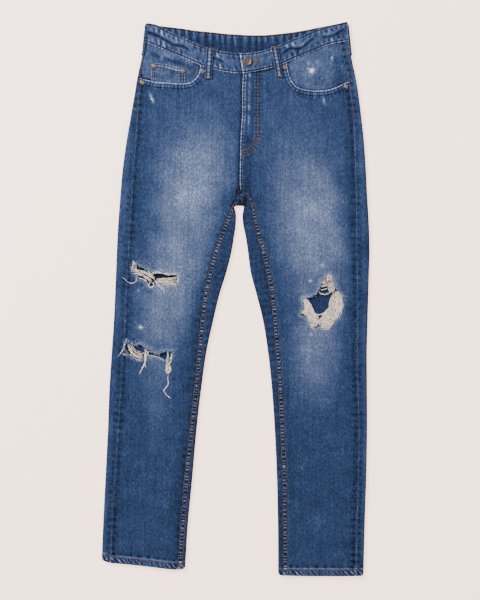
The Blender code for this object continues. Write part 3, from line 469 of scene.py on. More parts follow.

# %% [markdown]
# ## The denim material
# Seen from two metres, denim isn't even. Thick and thin yarns make short upright streaks, the
# dye is patchy, and beside each row of sewing the cloth ropes up: dark in the needle line, a
# painted shade of its groove, pale on the ridge next to it, with light and dark rungs where the
# two rows pull. The twill ribs are about 0.7 mm apart in life. That is finer than a pixel
# here, so they are drawn at 1.3 mm.

# %% Denim, with its streaks, roped seams and twill
def denim(name, shift=0, streak=0.17, inside_leg=False):
    made, tree, shader = material(name, roughness=0.92)
    place = node(tree, "ShaderNodeTexCoord").outputs["Object"]
    at = {"grain": 0}
    for key in ("tone", "seam", "run", "rope") + (("shade",) if inside_leg else ()):
        at[key] = node(tree, "ShaderNodeAttribute", dict(attribute_name=key)).outputs["Fac"]
    sums = []
    # Lumps a metre across, up and through, then detail, roughness and weight
    for key, lumps, detail, rough, weight in (
        # Slubs: streaks about 2 mm wide and 6 mm long, lying along the leg
        ("slubs", (430, 170, 200), 2, 0.6, streak),
        # Marl: dots of bare weft a yarn or two across
        ("dots", (430, 430, 430), 1, 0.5, streak),
        # Patchy dye, a few centimetres across
        ("patches", (42, 42, 42), 3, 0.6, 0.07),
        # Long faint streaks where the loom's warp yarns differ
        ("warps", (260, 9, 120), 1, 0.5, 0.06),
    ):
        spot = node(tree, "ShaderNodeVectorMath", dict(operation="MULTIPLY"), i0=place, i1=lumps)
        at[key] = node(tree, "ShaderNodeTexNoise", Vector=spot.outputs[0], Scale=1,
                       Detail=detail, Roughness=rough).outputs[0]
        sums += [("part", "SUBTRACT", key, 0.5), ("grain", "MULTIPLY_ADD", "part", weight * 2.6, "grain")]
    # The rungs beside a seam drift, so that they aren't even
    slow = node(tree, "ShaderNodeMath", dict(operation="MULTIPLY"), i0=at["run"], i1=0.07)
    at["drift"] = node(tree, "ShaderNodeTexNoise", dict(noise_dimensions="1D"), W=slow.outputs[0],
                       Scale=1, Detail=2, Roughness=0.6).outputs[0]
    # Twill ribs climb to the right
    at["ribs"] = node(tree, "ShaderNodeTexWave", dict(bands_direction="DIAGONAL"), Vector=place,
                      Scale=235, Distortion=0.6, Detail=1).outputs[0]
    # Each row of the list is one sum: its name, what it does, and the values it works on
    sums += [
        # The needle line reaches 1.5 mm from a row, and darkens the tone there as a painted shade of the
        # groove
        ("away", "ABSOLUTE", "seam"), ("line", "DIVIDE", "away", 1.5),
        ("line", "clamped SUBTRACT", 1, "line"), ("line", "MULTIPLY", "line", "rope"),
        # A rung every 6.5 mm
        ("turns", "MULTIPLY", "run", 0.97), ("turns", "MULTIPLY_ADD", "drift", 9, "turns"),
        ("rungs", "SINE", "turns"),
        # The ridge outside a row, and the one between two rows
        ("near", "ADD", "seam", 2.3), ("near", "ABSOLUTE", "near"),
        ("near", "DIVIDE", "near", 2.6), ("near", "clamped SUBTRACT", 1, "near"),
        ("between", "SUBTRACT", "seam", 0.6), ("between", "clamped MULTIPLY", "between", 0.7),
        # On a felled inseam the rungs stay between the rows
        ("calm", "clamped SUBTRACT", 2.2, "rope"), ("calm", "MULTIPLY", "near", "calm"),
        ("roped", "MAXIMUM", "calm", "between"), ("roped", "MULTIPLY", "roped", "rungs"),
        ("roped", "MULTIPLY", "roped", 0.145), ("roped", "MULTIPLY", "roped", "rope"),
        # The tone, with all that lightens or darkens it
        ("total", "ADD", "tone", "grain"), ("total", "ADD", "total", shift),
        ("total", "ADD", "total", "roped"), ("total", "MULTIPLY_ADD", "near", 0.08, "total"),
        ("total", "MULTIPLY_ADD", "between", 0.05, "total"),
        ("total", "MULTIPLY_ADD", "line", -0.26, "total"),
        # Ribs, slubs and rungs stand up a little
        ("height", "MULTIPLY", "ribs", 0.12), ("height", "MULTIPLY_ADD", "slubs", 0.5, "height"),
        ("height", "MULTIPLY_ADD", "roped", 2.2, "height"),
        ("height", "MULTIPLY_ADD", "line", -0.7, "height"),
    ]
    if inside_leg:
        sums.append(("total", "SUBTRACT", "total", "shade"))
    for key, operation, *values in sums:
        settings = dict(operation=operation.split()[-1], use_clamp=" " in operation)
        terms = {f"i{k}": at.get(value, value) for k, value in enumerate(values)}
        at[key] = node(tree, "ShaderNodeMath", settings, **terms).outputs[0]
    colour = node(tree, "ShaderNodeValToRGB", stops=INDIGO, i0=at["total"])
    tree.links.new(colour.outputs["Color"], shader.inputs["Base Color"])
    raised = node(tree, "ShaderNodeBump", Strength=0.55, Distance=0.0007, Height=at["height"])
    tree.links.new(raised.outputs[0], shader.inputs["Normal"])
    shader.inputs["Specular IOR Level"].default_value = 0.15
    # Loose fibres on the cloth catch light at a slant
    shader.inputs["Sheen Weight"].default_value = 0.04
    shader.inputs["Sheen Roughness"].default_value = 0.6
    return made


DENIM_OUTSIDE = denim("denim_indigo_stonewashed")
# The reverse is never sanded, so it stays even, and it is coloured dark as painted shade
DENIM_INSIDE = denim("denim_reverse_painted_shade", shift=-0.02, streak=0.11, inside_leg=True)
print("materials:", DENIM_OUTSIDE.name, DENIM_INSIDE.name)

# %% [markdown]
# ## Where the cloth is worn
# Jeans are sanded flat on the thighs and knees before sale, then rub thin at every edge. Soft
# ovals say where, by their middle, half length, half width, lean and strength. They follow the
# photo's broad light areas, and noise breaks their borders as hand sanding does.

# %% Fades and rubbed spots: middle x, y, half width, half length, lean in degrees, strength
FADES = (
    (-80, 242, 66, 98, -14, 0.34), (-98, 128, 60, 112, -14, 0.28),
    (-134, -8, 52, 108, -8, 0.36), (-149, -168, 27, 84, 0, 0.14), (-60, 70, 24, 80, -20, 0.12),
    (118, 240, 54, 88, 4, 0.19), (162, 124, 50, 120, 2, 0.4),
    (104, 114, 36, 100, 6, 0.25), (150, -84, 46, 110, 0, 0.36),
)
RUBS = (
    (-161, 386, 2.2, 8, 24, 0.5), (-158, 378, 2.6, 5, 18, 0.4), (-140, 459, 2.4, 4, 0, 0.4),
    (145, 434, 3.4, 3.4, 0, 0.5), (145, 434, 1.5, 9, 0, 0.3), (145, 434, 1.5, 8, 62, 0.3),
    (145, 434, 1.5, 8, 118, 0.3), (139, 448, 1.8, 3.4, 20, 0.3), (183, 457, 2, 6, -14, 0.4),
    (181, 449, 2, 3, 0, 0.2), (167, 377, 2, 6, 0, 0.5), (169, 371, 2.4, 3, 0, 0.25),
    (-185, 16, 2.4, 3.4, 0, 0.4), (-180, -54, 6, 2.6, 8, 0.35), (-181, -52, 2.4, 5, 30, 0.25),
    (142, 34, 2.6, 2.6, 0, 0.5), (165, 64, 2.6, 2.6, 0, 0.45), (144, -67, 2.4, 2.8, 0, 0.45),
    (126, -321, 2.2, 2.2, 0, 0.3),
)


def oval(x, y, cx, cy, wide, long, lean):
    """0 in the middle of a leaning oval and 1 on its edge."""
    turn = math.radians(lean)
    along = (y - cy) * math.cos(turn) - (x - cx) * math.sin(turn)
    across = (x - cx) * math.cos(turn) + (y - cy) * math.sin(turn)
    return (along / long) ** 2 + (across / wide) ** 2


def fade(x, y):
    """Tone of the outer cloth before seams are marked on it."""
    ragged = 1 + 0.12 * cloudy(x, y, 60, 11)
    kept = 1
    for *shape, strength in FADES:
        kept = kept * (1 - strength * np.exp(-((oval(x, y, *shape) * ragged) ** 1.5)))
    tone = 0.3 + 0.045 * soft_step((y - 60) / 260) + 0.85 * (1 - kept)
    ragged = np.clip(1 + 0.45 * cloudy(x, y, 5, 13), 0.3, 1.5)
    for *shape, strength in RUBS:
        tone += strength * ragged * np.exp(-oval(x, y, *shape))
    # Painted light and shade of the folds: a little paler on their ridges, darker in their hollows
    tone += 0.03 * folded(LARGE_FOLDS + SMALL_FOLDS, x, y, 0.7)
    return tone + 0.012 * cloudy(x, y, 55, 12)


print("fades:", len(FADES), "rubs:", len(RUBS))

# %% [markdown]
# ## Marking the sewing on the cloth
# Every topstitched seam is a band with a row of sewing at each side. For a point of cloth its
# seam number is positive between the two rows, zero on a row and negative outside. Its run is
# how far it is along the seam. The material needs no more than these two to rope the cloth.

# %% Seam marks
NO_SEAM = -30
INSEAM_ROPE = 2.4
HEM_ROPE = 0.45


def blank_marks(x, tone):
    return dict(tone=tone + 0 * x, seam=np.full(x.shape, NO_SEAM), run=0 * x,
                rope=np.ones(x.shape))


def mark(marks, value, run, rope=1):
    """Keeps a seam's numbers wherever it is nearer than the seams marked before it."""
    over = value > marks["seam"]
    marks["seam"] = np.where(over, value, marks["seam"])
    marks["run"] = np.where(over, run, marks["run"])
    marks["rope"] = np.where(over, rope, marks["rope"])


def mark_band(marks, x, y, path, offset, half, rope=1):
    """Marks rows of sewing at offset - half and offset + half from a path."""
    away, run = near_path(x, y, path)
    value = half - np.abs(away - offset)
    mark(marks, np.where(value > -12, value, NO_SEAM), run, rope)
    return away, run


# %% A felled inseam, and puckers
def felled_reach(y):
    """Distance of a felled inseam's second row: the crotch pulls the two rows together."""
    return blend(5.6, 9, soft_step((182 - y) / 44))


def mark_felled(marks, here, away, run, y):
    """Marks the two rows of a felled inseam, the first of them beside the seam."""
    reach = felled_reach(y)
    value = (reach - 0.8) / 2 - np.abs(away - (reach + 0.8) / 2)
    mark(marks, np.where(here, value, NO_SEAM), run, INSEAM_ROPE)


def puckers(away, run, reach, wavelength, seed):
    """Unevenly spaced bulges beside a seam, dying away at a distance."""
    spread = bump(away - 0.45 * reach, 0.6 * reach)
    return ripple(run, wavelength, seed) * spread


print("a felled seam at the knee is", round(float(felled_reach(-100)), 1), "mm wide")

# %% Fine outlines of the rips, roughened by fraying
RIPS = {
    "left_upper": (
        (-193, 66), (-187, 63), (-181, 60.5), (-174, 58), (-168, 54), (-160, 50), (-154, 50.5),
        (-147, 48.5), (-141, 52), (-136, 49), (-128, 47.5), (-122, 46), (-116, 46.5), (-110.5, 45),
        (-111, 37), (-112, 30), (-119, 26.5), (-126, 27), (-134, 26), (-143, 29.5), (-149, 28),
        (-155, 24), (-163, 23), (-166, 29), (-171, 34), (-177, 37), (-185, 41), (-190, 46),
        (-195, 53), (-195, 60),
    ),
    "left_lower": (
        (-208, -83), (-203, -84.5), (-197, -86), (-192, -89), (-187, -91), (-182, -85), (-179, -87),
        (-175, -91), (-168, -94.5), (-163, -99), (-157, -102.5), (-151, -104), (-146, -106),
        (-141, -102.5), (-136, -101), (-130, -99.5), (-124, -100), (-119, -99), (-120, -106),
        (-126, -111), (-132, -115), (-138, -113), (-143, -111), (-149, -109), (-155, -108),
        (-166, -109), (-176, -113), (-184, -114.5), (-190, -113), (-196, -110), (-201, -106),
        (-206, -99), (-209, -92),
    ),
    "right": (
        (177, 48), (181, 45), (183, 38), (186, 34), (187, 29), (188, 24), (191, 19), (196, 15),
        (202, 8), (203.5, 0), (204, -10), (202.5, -18), (200, -26), (194, -34), (190, -40),
        (183, -46), (176, -56), (172, -58), (166, -54), (160, -52), (154, -55), (147, -55),
        (143, -47), (139, -38), (136, -32), (129, -32), (123.5, -31), (126, -22), (130, -15),
        (131, -10), (126, -2), (127.5, 2), (134, 2), (141, 3), (148, 6), (154, 9), (157, 14),
        (161, 22), (164, 28), (162, 34), (169, 36), (173, 41),
    ),
}


def roughened(outline, depth, seed):
    """An outline with short in-and-out steps, as frayed yarn ends leave it."""
    draws = np.random.default_rng(seed)
    found = []
    for (x0, y0), (x1, y1) in zip(outline, outline[1:] + outline[:1]):
        length = math.hypot(x1 - x0, y1 - y0)
        count = max(1, round(length / 2.2))
        for i in range(count):
            share = i / count
            push = depth * draws.uniform(-1, 1)
            found.append((
                blend(x0, x1, share) + push * (y1 - y0) / length,
                blend(y0, y1, share) - push * (x1 - x0) / length,
            ))
    return tuple(found)


FRAYED = {name: roughened(RIPS[name], 0.8, 40 + i) for i, name in enumerate(RIPS)}
print("rip outlines:", {name: len(line) for name, line in FRAYED.items()})

# %% Opening a hole in a panel
SNAP = 6


def cut_out(x, y, keep, outline):
    """Opens a hole in a grid: faces inside the outline go, points beside it move onto it."""
    hidden = inside(x, y, outline)
    keep &= ~(hidden[:-1, :-1] & hidden[1:, :-1] & hidden[1:, 1:] & hidden[:-1, 1:])
    rows, columns = np.nonzero(hidden)
    away, _, rim_x, rim_y = nearest(x[rows, columns], y[rows, columns], outline + outline[:1])
    near = away < SNAP
    x[rows[near], columns[near]] = rim_x[near]
    y[rows[near], columns[near]] = rim_y[near]


print("points up to", SNAP, "mm inside a rip move onto its edge")

# %% [markdown]
# ## From a grid of points to a thin shell
# Each panel is a grid: rows across the leg, columns down it. The grid is the outer face, and a
# Solidify modifier gives it the cloth's thickness inwards, with the reverse, coloured dark as
# painted shade, as its second material. That keeps the panel a real thin cloth, and the rip
# edges get their thickness.

# %% Making a shell
pieces = {}


def linked(name, data):
    """A new object in the scene that holds a mesh, a curve, a lamp or a camera."""
    made = bpy.data.objects.new(name, data)
    bpy.context.scene.collection.objects.link(made)
    return made


def shell(name, x, y, z, thickness, marks, keep=None, flip=False, hem=None):
    """A cloth shell whose outer face passes through a grid of points in millimetres."""
    count = np.arange(x.size).reshape(x.shape)
    corners = [count[:-1, :-1], count[1:, :-1], count[1:, 1:], count[:-1, 1:]]
    quads = np.stack(corners[::-1] if flip else corners, axis=-1)
    real = np.isfinite(z)
    whole = real[:-1, :-1] & real[1:, :-1] & real[1:, 1:] & real[:-1, 1:]
    quads = quads[whole if keep is None else whole & keep]
    used, faces = np.unique(quads, return_inverse=True)
    points = np.stack([x.ravel(), y.ravel(), z.ravel()], axis=-1)[used] * MM
    mesh = bpy.data.meshes.new(name)
    mesh.from_pydata(points.tolist(), [], faces.reshape(-1, 4).tolist())
    for key, values in marks.items():
        layer = mesh.attributes.new(key, "FLOAT", "POINT")
        layer.data.foreach_set("value", values.ravel()[used].astype(np.float32))
    mesh.materials.append(DENIM_OUTSIDE)
    mesh.materials.append(DENIM_INSIDE)
    mesh.shade_smooth()
    piece = linked(name + "_cloth", mesh)
    pieces[name] = piece
    solid = piece.modifiers.new("Cloth thickness", "SOLIDIFY")
    solid.offset = -1
    solid.material_offset = 1
    solid.thickness = thickness * MM
    if hem is not None:
        group = piece.vertex_groups.new(name="hem")
        turned_up = hem.ravel()[used]
        group.add(np.nonzero(turned_up)[0].tolist(), 1, "REPLACE")
        group.add(np.nonzero(~turned_up)[0].tolist(), thickness / HEM_CLOTH, "REPLACE")
        solid.vertex_group = "hem"
        solid.thickness = HEM_CLOTH * MM
    print(piece.name, len(mesh.polygons), "faces")


print("a hem is", HEM_CLOTH, "mm thick, plain cloth", DENIM)

# %% Spacing of rows and columns
def stepped(top, bottom, fine_bands, coarse=3, fine=1.8):
    """Values from top to bottom, closer together inside the fine bands."""
    found = [top]
    while found[-1] > bottom + coarse:
        at = found[-1]
        close = any(low - coarse < at < high + coarse for low, high in fine_bands)
        found.append(at - (fine if close else coarse))
    return np.array(found + [bottom])


def soft_columns(edge_count, middle_count, edge_share=0.12):
    """Shares from 0 to 1, closer together near both ends."""
    first = np.linspace(0, edge_share, edge_count, endpoint=False)
    middle = np.linspace(edge_share, 1 - edge_share, middle_count, endpoint=False)
    last = np.linspace(1 - edge_share, 1, edge_count + 1)
    return np.concatenate([first, middle, last])


# The cloth runs a little way up under the waistband, as a seam allowance
ALLOWANCE = 3.2
ALLOWANCE_DROP = 1.7
FINE_BANDS = {"left": ((22, 70), (-118, -80), (-509, -487)), "right": ((-58, 50), (-527, -505))}
print("columns of a front:", len(soft_columns(16, 58)))

# %% [markdown]
# ## Front panels
# The front of a leg is one piece from the waist seam to the hem. It is cut away at the pocket
# and ripped at the knee. Its sewing: the pocket's two rows, the fly's J, the hem, and on the
# right leg the felled inseam.

# %% Rows and columns of a front panel
def row_shares(side, ref):
    """Waist, yoke and hem shares of rows by their reference y."""
    waist = straight(SLOPES, 1, ref)
    yoke = straight(SLOPES, 2, ref)
    hem_y = HEM_REFERENCE[side]
    hem = soft_step((HEM_SLOPE_START - ref) / (HEM_SLOPE_START - hem_y))
    return waist, yoke, hem


def front_y(side, ref, x):
    waist, _, hem = row_shares(side, ref)
    y = ref + waist * (front_low(x) - WAIST_GAP - WAIST_Y)
    return y + hem * (read(HEM_LINES[side], 1, x) - HEM_REFERENCE[side])


def back_y(side, ref, x, share):
    waist, yoke, hem = row_shares(side, ref)
    y = ref + waist * (back_low(x) - WAIST_GAP - WAIST_Y) - yoke * YOKE_DIP * share
    return y + hem * (read(HEM_LINES[side], 1, x) - HEM_REFERENCE[side])


def line_of(xs, ys):
    return tuple(zip(np.asarray(xs).tolist(), np.asarray(ys).tolist()))


def seam_path(side, kind):
    """A seam as a path of points: the outseam, the inseam or the hem's lower edge."""
    if kind == "hem":
        return tuple((float(a), float(b)) for a, b in HEM_LINES[side])
    top = 486 if kind == "outseam" else 196
    ys = np.linspace(top, HEM_REFERENCE[side], 60)
    xs = outseam(side, ys) if kind == "outseam" else inseam(side, ys)
    return line_of(xs, ys)


FLY_PATH = line_of(read(FLY_LINE, 1, np.linspace(440, 202, 30)), np.linspace(440, 202, 30))
J_OUTER = (
    (45.8, 431), (45.6, 310), (44.5, 302), (39.5, 290), (31, 279), (20, 273), (9.5, 271.5),
)
J_INNER = (
    (39.5, 431), (39.3, 312), (38, 302), (33, 289.5), (24.5, 283.5), (14, 281), (9.8, 280),
)
J_MIDDLE = tuple((0.5 * (a + c), 0.5 * (b + d)) for (a, b), (c, d) in zip(J_OUTER, J_INNER))
BELOW_FLY = ((16, 264), (15.2, 240), (13.5, 222), (13.2, 209))
print("outseam left starts at", seam_path("left", "outseam")[0])

# %% Height of a front panel
def tucked(x, y):
    """How far the seam allowance sinks where it goes up under the waistband."""
    return ALLOWANCE_DROP * soft_step((y - front_low(x) + WAIST_GAP) / 1.6)


def front_surface(side, x, y):
    """Height of a front panel's face, with its seams roped and folded edges standing up."""
    z = lay(side, x, y) + folded(SMALL_FOLDS, x, y) - tucked(x, y)
    if side == "right":
        z = z + fly_rise(x, y)
    away, run = near_path(x, y, seam_path(side, "outseam"))
    z = z + 0.34 * puckers(away, run, 11, 21, 21) - 0.5 * bump(away, 1.6)
    away, run = near_path(x, y, seam_path(side, "inseam"))
    z = z + 0.18 * puckers(away, run, 9, 12, 22) - 0.45 * bump(away, 1.4)
    away, run = near_path(x, y, seam_path(side, "hem"))
    z = z + 0.26 * puckers(away, run, 16, 11, 23) - 0.35 * bump(away - HEM_DEPTH, 1.8)
    away, run = near_path(x, y, POCKET_CURVES[side])
    edge = soft_step((y - 380) / 10)
    z = z + edge * (0.3 * bump(away - 5, 4) + 0.2 * puckers(away, run, 8, 13, 24))
    for name, outline in RIPS.items():
        if name.startswith(side):
            away, run = near_path(x, y, outline + outline[:1])
            z = z + 0.7 * bump(away, 3.5) * (0.6 + 0.6 * ripple(run, 17, 25))
    return z + 0.08 * cloudy(x, y, 38, 26)


print("left front at the thigh, mm high:", round(float(front_surface("left", -100, 100)), 2))

# %% Wear of a hem and of crossing seams, and painted shade at the crotch
def hem_wear(away, run, seed):
    """A hem's wear: a pale ridge on the row, dark puckers over it, slanting streaks under it."""
    ridge = 0.32 * bump(away - HEM_DEPTH - 2.4, 1.5) + 0.2 * bump(away, 1.6)
    dark = 0.2 + np.clip(ripple(run, 15, seed), -0.3, 0.9)
    streaks = ripple(run + 1.1 * away, 9, seed + 1)
    return ridge - 0.27 * dark * bump(away - HEM_DEPTH - 6.2, 2.8) + 0.34 * streaks * bump(
        away - 6, 4.4)


def crossing(away_hem, across, reach):
    """A pale patch where a seam's many layers cross the hem and rub."""
    return 0.22 * bump(across, reach) * bump(away_hem - 8, 8)


def crotch_painted_shade(x, y):
    """Painted shade over the thick crossing of the crotch seams: x, y, half sizes, depth."""
    shade = 0 * x
    for cx, cy, wide, tall, depth in (
        (7, 184, 12, 7, 0.12), (2.4, 204, 2.8, 5.6, 0.4), (-3, 182, 2.4, 5.5, 0.4),
        (18, 187, 2.6, 8, 0.36), (6.5, 178.6, 12, 2.2, 0.4), (18, 193.6, 4.4, 1.8, 0.4),
    ):
        shade = shade + depth * bump(np.hypot((x - cx) / wide, (y - cy) / tall), 1)
    return shade


print("a hem's ridge adds", round(float(hem_wear(HEM_DEPTH + 2.4, 0, 34)), 2), "to the tone")

# %% Marks of a front panel
def blotches(x, y, run):
    """Dark patches where the cloth puckers beside the outseam."""
    return np.clip(ripple(run, 9, 31) + 0.1 + 0.4 * cloudy(x, y, 9, 35), 0, 1)


def front_marks(side, x, y):
    # The crotch's painted shade is taken off the tone
    marks = blank_marks(x, fade(x, y) - crotch_painted_shade(x, y))
    tone = marks["tone"]
    # Side seams: the cloth is darker beside them and mottled by the seam under it
    away, run = near_path(x, y, seam_path(side, "outseam"))
    low_leg = soft_step((-250 - y) / 160)
    blotch = blotches(x, y, run)
    tone -= (0.17 + 0.1 * low_leg) * blotch * bump(away - 5.5, 5.5)
    tone = tone - 0.05 * bump(away - 4.5, 3) - 0.04 * bump(away, 14)
    tone -= 0.06 * bump(away, 24) * soft_step((y - 90) / 60)
    tone += 0.26 * bump(away, 1.3) + 0.08 * ripple(run, 14, 32) * bump(away, 5)
    away, run = near_path(x, y, seam_path(side, "inseam"))
    shade = 0.1 if side == "left" else 0.06
    tone = tone - shade * bump(away, 16) + 0.07 * ripple(run, 13, 33) * bump(away - 3, 5)
    # Hem: pale ridge just above the row of sewing, dark puckers above that, worn edge
    away, run = near_path(x, y, seam_path(side, "hem"))
    tone += hem_wear(away, run, 34) + crossing(away, x - outseam(side, y), 6)
    if side == "right":
        tone += crossing(away, x - inseam(side, y) - 4.9, 3.6)
    # Pocket edge: rubbed pale where the hand goes in, with a painted shade below its roped band
    away, run = near_path(x, y, POCKET_CURVES[side])
    tone += 0.5 * bump(away, 1.5) - 0.1 * bump(away - 12, 2.4)
    tone += 0.06 * ripple(run, 12, 36) * bump(away - 8, 5)
    if side == "right":
        away, run = near_path(x, y, FLY_PATH)
        tone += 0.48 * bump(away, 1.9) * soft_step((y - 205) / 4)
        # The zip under the fly pushes up two ridges, rubbed pale
        beside_zip = soft_step((y - 305) / 30) * (0.75 + 0.3 * ripple(run, 19, 39))
        tone += beside_zip * (0.28 * bump(away - 5.6, 1.9) + 0.42 * bump(away - 12.8, 2.6))
        tone = tone - 0.1 * bump(away - 12, 14) - 0.1 * beside_zip * bump(away - 9.4, 1.6)
        tone -= 0.1 * bump(away - 36, 2.4) * soft_step((y - 300) / 20)
    else:
        away, run = near_path(x, y, FLY_PATH)
        # The right front's fly laps over this edge: a painted shadow along it
        tone -= 0.3 * bump(away, 5)
    # Rips: bleached, fluffy cloth round the hole
    for name, outline in RIPS.items():
        if name.startswith(side):
            away, run = near_path(x, y, outline + outline[:1])
            tone += 0.14 * bump(away, 5) * (0.9 + 0.5 * ripple(run, 9, 37))
            tone -= 0.1 * np.clip(ripple(run, 13, 38), 0, 1) * bump(away - 9, 3)
    marks["tone"] = tone
    mark_band(marks, x, y, seam_path(side, "hem"), 0, HEM_DEPTH, HEM_ROPE)
    mark_band(marks, x, y, POCKET_CURVES[side], 6.1, 3.4)
    if side == "right":
        right_of = x > inseam(side, y)
        away, run = near_path(x, y, seam_path(side, "inseam"))
        mark_felled(marks, (y < 199) & right_of & (away < 20), away, run, y)
        mark_band(marks, x, y, J_MIDDLE, 0, 3.15)
        mark_band(marks, x, y, FLY_PATH, 0, 2.6)
    return marks


print("far from sewing the seam number is", NO_SEAM)

# %% Cutting the front panels
def front_panel(side):
    ref = stepped(WAIST_Y, HEM_REFERENCE[side], FINE_BANDS[side])
    ref = np.concatenate([[WAIST_Y + ALLOWANCE, WAIST_Y + 1.4], ref])
    share = soft_columns(16, 58)
    if side == "left":
        share = share[::-1]
    ref, share = grid(ref, share)
    inward = -OUT[side]

    def x_at(y):
        inner = front_inner(side, y)
        if side == "left":
            inner = inner + np.where(y > CROTCH_Y, underlap(y), 0)
        seam = outseam(side, y) + inward * SEAM_GAP / 2
        return blend(inner - inward * SEAM_GAP / 2, seam, share)

    x, y = settled(x_at, lambda x: front_y(side, ref, x), ref)
    keep = np.ones((x.shape[0] - 1, x.shape[1] - 1), bool)
    pocket = POCKET_CURVES[side]
    cut_out(x, y, keep, pocket + ((pocket[-1][0], 560), (pocket[0][0], 560)))
    for name, outline in FRAYED.items():
        if name.startswith(side):
            cut_out(x, y, keep, outline)
    z = front_surface(side, x, y)
    hem = ref < HEM_REFERENCE[side] + HEM_DEPTH + 0.6
    shell("front_panel_" + side, x, y, z, DENIM, front_marks(side, x, y), keep, hem=hem)


for side in OUT:
    front_panel(side)

# %% [markdown]
# ## Back panels and yokes
# The back of a leg starts at the seam on top, rolls round the side fold, lies flat underneath
# and rolls up again to the inseam. One grid row follows that whole path round the leg, so the
# side folds are real rolled cloth. The yoke is the top part of the same path.

# %% Height of the underside
# The seat lies over the back pockets and the middle loop
SEAT_RAISE = 1.7
SEAT_TOP = 380
SEAT_LOW = 218


def underside_height(ref, x, y, share):
    """Height of the bottom layer's outer face, with its own creases."""
    on_rows = soft_step((SEAT_TOP + 8 - ref) / 8) * soft_step((ref - SEAT_LOW + 6) / 6)
    over_pocket = soft_step(share / 0.1) * on_rows
    over_loop = soft_step((y - 418) / 20) * soft_step((share - 0.7) / 0.15)
    return SEAT_RAISE * np.maximum(over_loop, over_pocket) + folded(BACK_FOLDS, x, y)


print("over a back pocket, mm high:", round(float(underside_height(300, -90, 290, 0.5)), 2))

# %% Folds at the inner edge of a leg
LEG_TOP = 136


def inner_fold(side, ref):
    """Seam x, fold x, fold y and fold direction of rows below the crotch."""
    legs = np.minimum(ref, LEG_TOP)
    edge, fold_y = settled(
        lambda at: read(INNER_LINES[side], 2, at), lambda x: front_y(side, legs, x), legs
    )
    seam, _ = settled(lambda at: inseam(side, at), lambda x: front_y(side, legs, x), legs)
    low = np.stack([seam, edge, fold_y, 0 * seam - OUT[side], 0 * seam])
    # The crotch's table goes on where the leg's lines start
    joint = (inseam(side, LEG_TOP), read(INNER_LINES[side], 2, LEG_TOP), LEG_TOP, -OUT[side], 0)
    table = CROTCH_ROWS[side] + ((LEG_TOP, *joint),)
    high = np.stack([straight(table, k, ref) for k in range(1, 6)])
    return np.where(ref > LEG_TOP, high, low)


seam_x, fold_x, *_ = inner_fold("left", np.array([100]))
print("below the left crotch the fold is", round(float(fold_x[0] - seam_x[0]), 1), "mm past the seam")

# %% One path round a leg
def back_grid(side, ref):
    """Grid of one side's back: seam strip, side fold, bottom, inner fold, inner strip."""
    out = OUT[side]
    radius = LAY / 2
    sx, sy = settled(
        lambda y: outseam(side, y) + out * SEAM_GAP / 2, lambda x: front_y(side, ref, x), ref
    )
    tx, ty = settled(
        lambda y: outer_edge(side, y) - out * radius, lambda x: front_y(side, ref, x), ref
    )
    by = back_y(side, ref, tx, 0)
    columns = []
    seam_z = lay(side, sx, sy)
    for share in np.linspace(0, 1, 13)[:-1]:
        x, y = blend(sx, tx, share), blend(sy, ty, share)
        level = blend(seam_z, LAY, soft_step(share / 0.6))
        columns.append((x, y, level, 0 * x + share))
    for share in np.linspace(0, 1, 11)[:-1]:
        angle = math.pi * (1 - share)
        z = radius - radius * math.cos(angle)
        x = tx + out * radius * math.sin(angle)
        columns.append((x, blend(by, ty, z / LAY), 0 * x + z, 0 * x + 1 + share))
    above = ref > CROTCH_Y + 1
    # Near the crotch the halves overlap a little, so that no light shows between them
    apart = out * np.where(ref < 240, -0.3, SEAM_GAP / 2)
    cx, cy = settled(
        lambda y: centre_back(y) + apart, lambda x: back_y(side, ref, x, 1), ref
    )
    seam, fold_x, fold_y, nx, ny = inner_fold(side, ref)
    meeting = out * np.where(ref > 198, 0.35, 0)
    fold_x = fold_x - meeting
    ix = np.where(above, cx, fold_x - nx * radius)
    iy = np.where(above, cy, fold_y - ny * radius)
    for share in np.concatenate([np.linspace(0, 0.12, 5)[:-1], np.linspace(0.12, 1, 27)]):
        x = blend(tx, ix, share)
        y = np.where(above, back_y(side, ref, x, share), blend(by, iy, share))
        columns.append((x, y, underside_height(ref, x, y, share), 0 * x + 2 + share))
    seam = seam - out * SEAM_GAP / 2 - meeting
    seam_y = front_y(side, ref, seam)
    missing = np.where(above, np.nan, 0)
    for share in np.linspace(0, 1, 11)[1:]:
        angle = math.pi * share
        reach = radius * math.sin(angle)
        z = radius - radius * math.cos(angle)
        columns.append((ix + nx * reach, iy + ny * reach, z + missing, 0 * ix + 3 + share))
    for share in np.linspace(0, 1, 11)[1:]:
        x, y = blend(ix, seam, share), blend(iy, seam_y, share)
        z = blend(LAY, lay(side, x, y), share) + missing
        columns.append((x, y, z, 0 * x + 4 + share))
    return [np.stack(part, axis=1) for part in zip(*columns)]


print("points round a leg:", back_grid("left", np.array([100]))[0].shape[1])

# %% Marks of a back
def back_relief(side, x, y, z, round_leg):
    """Puckers and valleys along the seams of the back's strips on top."""
    away, run = near_path(x, y, seam_path(side, "outseam"))
    more = 0.28 * puckers(away, run, 8, 17, 27) - 0.5 * bump(away, 1.6)
    z = z + np.where(round_leg < 1.6, more, 0)
    away, run = near_path(x, y, seam_path(side, "inseam"))
    more = 0.2 * puckers(away, run, 8, 12, 28) - 0.4 * bump(away, 1.4)
    return z + np.where(round_leg > 3.6, more, 0)


